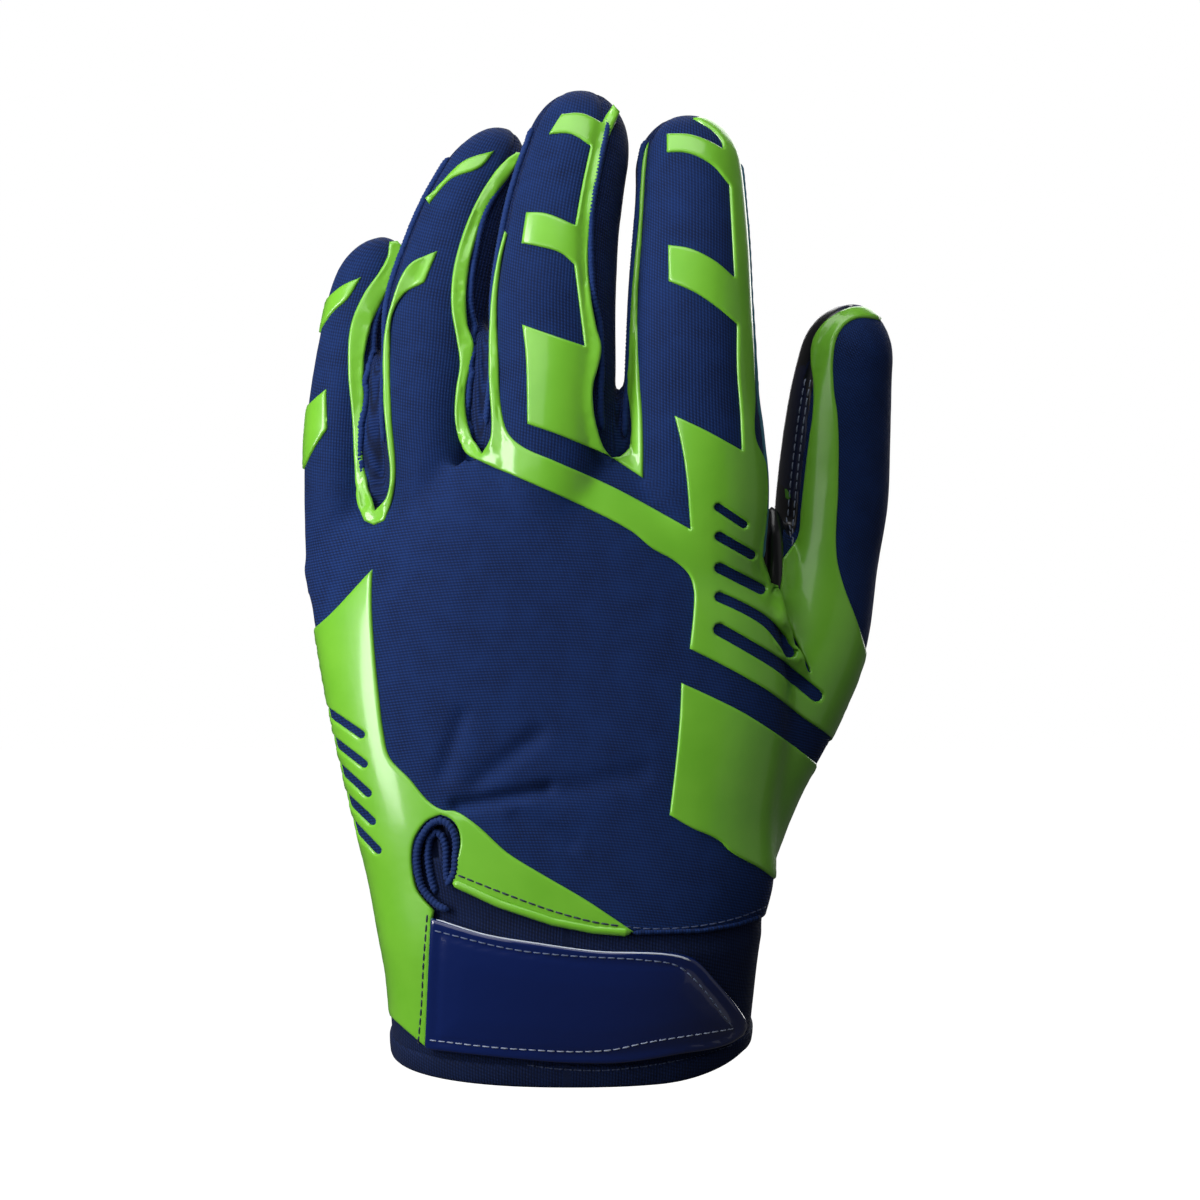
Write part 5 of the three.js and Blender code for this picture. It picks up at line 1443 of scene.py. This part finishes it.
def stitches(line, normals, radius):
    """Small bars a pitch apart along a line, standing half out of the surface."""
    both = resampled(np.column_stack([line, normals]), STITCH_PITCH)
    along = np.gradient(both[:, :3], axis=0)
    along /= np.linalg.norm(along, axis=1, keepdims=True)
    parts = []
    for middle, direction, normal in zip(both[:, :3], along, both[:, 3:]):
        reach = np.array([-0.5, -0.42, 0.0, 0.42, 0.5])[:, None] * STITCH_LENGTH
        drop = np.array([-0.16, -0.05, 0.06, -0.05, -0.16])[:, None]
        bar = middle + direction * reach + normal * drop
        parts.append(tube_along(bar, np.tile(normal, (5, 1)), radius, sides=6))
    return joined(parts)


def stitch_row(name, lines, code, slot, radius=THREAD_RADIUS):
    """Rows of stitches as one piece. Each line is its points and the surface's directions there."""
    piece = mesh_object(name, *joined([stitches(*line, radius) for line in lines]))
    set_in_place(piece, new_finish(name + "_thread", code, 0.6, Sheen_Weight=0.2), slot)


def flat_line(corners, surface, lift):
    """A line drawn flat (x, z) and laid on a surface, with the surface's directions there."""
    line = resampled(flowing(corners, 1.0, False), 0.7)
    return line_on(surface, lay(line, surface)[0], lift)


strap_points, strap_faces = triangles_of(strap)
strap_surface = surface_of(strap_points, strap_faces)
top_line = flat_line([(-29.0, 26.3), (-13.1, 22.6), (-1.6, 21.3), (15.7, 20.2), (21.4, 19.2), (25.0, 16.6),
                      (33.2, 6.2)], strap_surface, 0.04)
low_line = flat_line([(33.2, 5.2), (15.7, 2.7), (7.0, 1.0), (-13.1, 1.3), (-30.2, 2.9)], strap_surface, 0.04)
stitch_row("strap_top_stitches", [top_line], "#5a6989", "strap_patent")
stitch_row("strap_low_stitches", [low_line], "#8f9ab2", "strap_patent")
edge_line = flat_line([(-29.6, 28.9), (-18.9, 25.7), (-7.4, 23.8), (4.1, 22.2), (22.7, 20.9), (24.8, 20.0)],
                      strap_surface, -0.05)
edge = mesh_object("strap_cut_edge", *tube_along(*edge_line, STRAP_EDGE_RADIUS, sides=8, taper=1.0))
set_in_place(edge, new_finish("strap_backing", "#c4ccda", 0.8), "strap_patent")
film_seam = flat_line([(-31.2, 29.0), (-31.9, 20.0), (-32.4, 10.0), (-33.0, 3.0)], worn_surface,
                      FILM_HEIGHT + 0.05)
stitch_row("outer_edge_stitches", [film_seam], "#0b2138", "gel_green", FILM_THREAD_RADIUS)
hem_stitch = flat_line([(-25.8, 38.7), (-14.3, 34.2), (-4.5, 30.7), (4.1, 28.4), (11.6, 27.3), (15.7, 26.9),
                        (27.2, 27.5), (34.6, 29.0), (40.4, 31.0)], skin_surface, 0.05)
hem_stitch[0][hem_stitch[0][:, 0] < GREEN_STITCHES_END, 1] -= FILM_HEIGHT
hem_points, hem_faces = triangles_of(hem)
hem_row = flat_line([(-24.0, 0.9), (-8.0, -2.6), (6.0, -3.4), (16.0, -2.4), (26.0, -0.6), (33.0, 1.4)],
                    surface_of(hem_points, hem_faces), 0.05)
navy_part = hem_stitch[0][:, 0] > GREEN_STITCHES_END
for row_name, part, code, row_slot, radius in (
        ("green_edge_stitches", ~navy_part, "#0b2138", "gel_green", FILM_THREAD_RADIUS),
        ("panel_edge_stitches", navy_part, "#32436c", "knit_navy", THREAD_RADIUS)):
    stitch_row(row_name, [(hem_stitch[0][part], hem_stitch[1][part])], code, row_slot, radius)
stitch_row("hem_stitches", [hem_row], "#2c3c62", "binding_navy")
thumb = FINGERS["thumb"]
thumb_rows = []
for turn_in in (-0.06, -0.2):
    up = np.linspace(0.5, 0.86, 90)
    seam = np.radians(read(thumb["rows"], 5, up)) + turn_in
    thumb_rows.append(line_on(finger_surfaces["thumb"], finger_point(thumb, up, seam), 0.05))
stitch_row("thumb_stitches", thumb_rows, "#7f8ba3", "palm_grip")


# The room. A plain pale floor under the glove, a pale sky all round, and soft lights: a tall box at the
# left, a wide one overhead, weak ones at the right and in front, and one behind.
FLOOR_DROP = -70.0
floor_points = [(x, y, FLOOR_DROP) for x, y in ((-9000, -9000), (9000, -9000), (9000, 9000), (-9000, 9000))]
floor = mesh_object("floor", floor_points, [(0, 1, 2, 3)], smooth=False)
floor.data.materials.append(new_finish("pale_floor", "#f0f0f0", 0.9, Specular_IOR_Level=0.1,
                                       Emission_Color=(1, 1, 1, 1), Emission_Strength=0.97))
floor.visible_diffuse = False
floor.visible_glossy = False
bpy.ops.mesh.primitive_uv_sphere_add(segments=48, ring_count=24, radius=9.0)
backdrop = bpy.context.object
backdrop.name = "backdrop"
backdrop.data.materials.append(new_finish("pale_backdrop", "#000000", 1.0, Specular_IOR_Level=0.0,
                                          Emission_Color=(1, 1, 1, 1), Emission_Strength=1.0))
backdrop.visible_diffuse = False
backdrop.visible_glossy = False
backdrop.visible_shadow = False
world = bpy.data.worlds.new("pale_sky")
world.use_nodes = True
world.node_tree.nodes["Background"].inputs["Color"].default_value = (1, 1, 1, 1)
world.node_tree.nodes["Background"].inputs["Strength"].default_value = 0.06
bpy.context.scene.world = world
bpy.context.scene.view_settings.view_transform = "Standard"

# Name, place in millimetres, breadth and height in metres, and watts.
LIGHTS = (("left_box", (-760, -470, 380), (0.26, 0.9), 9.0),
          ("top_box", (-150, -250, 900), (0.9, 0.6), 4.2),
          ("right_box", (800, -350, 150), (0.9, 0.9), 0.45),
          ("front_box", (-420, -950, 480), (0.6, 0.6), 1.9),
          ("back_box", (200, 900, 500), (0.9, 0.9), 7.0))
for name, place, size, power in LIGHTS:
    light = bpy.data.lights.new(name, "AREA")
    light.shape = "RECTANGLE"
    light.size, light.size_y = size
    light.energy = power
    lamp = bpy.data.objects.new(name, light)
    lamp.location = Vector(place) * MM
    lamp.rotation_euler = (Vector((0, 0, 100)) * MM - lamp.location).to_track_quat("-Z", "Y").to_euler()
    bpy.context.scene.collection.objects.link(lamp)

LENS = 300.0
SENSOR_WIDTH = 36.0
FRAME_WIDTH = 258.0
camera = bpy.data.cameras.new("camera")
camera.lens = LENS
camera.sensor_width = SENSOR_WIDTH
camera.clip_end = 50.0
viewer = bpy.data.objects.new("camera", camera)
viewer.location = Vector((5.4, -FRAME_WIDTH * LENS / SENSOR_WIDTH, 96.75)) * MM
viewer.rotation_euler = (math.pi / 2, 0, 0)
bpy.context.scene.collection.objects.link(viewer)
bpy.context.scene.camera = viewer
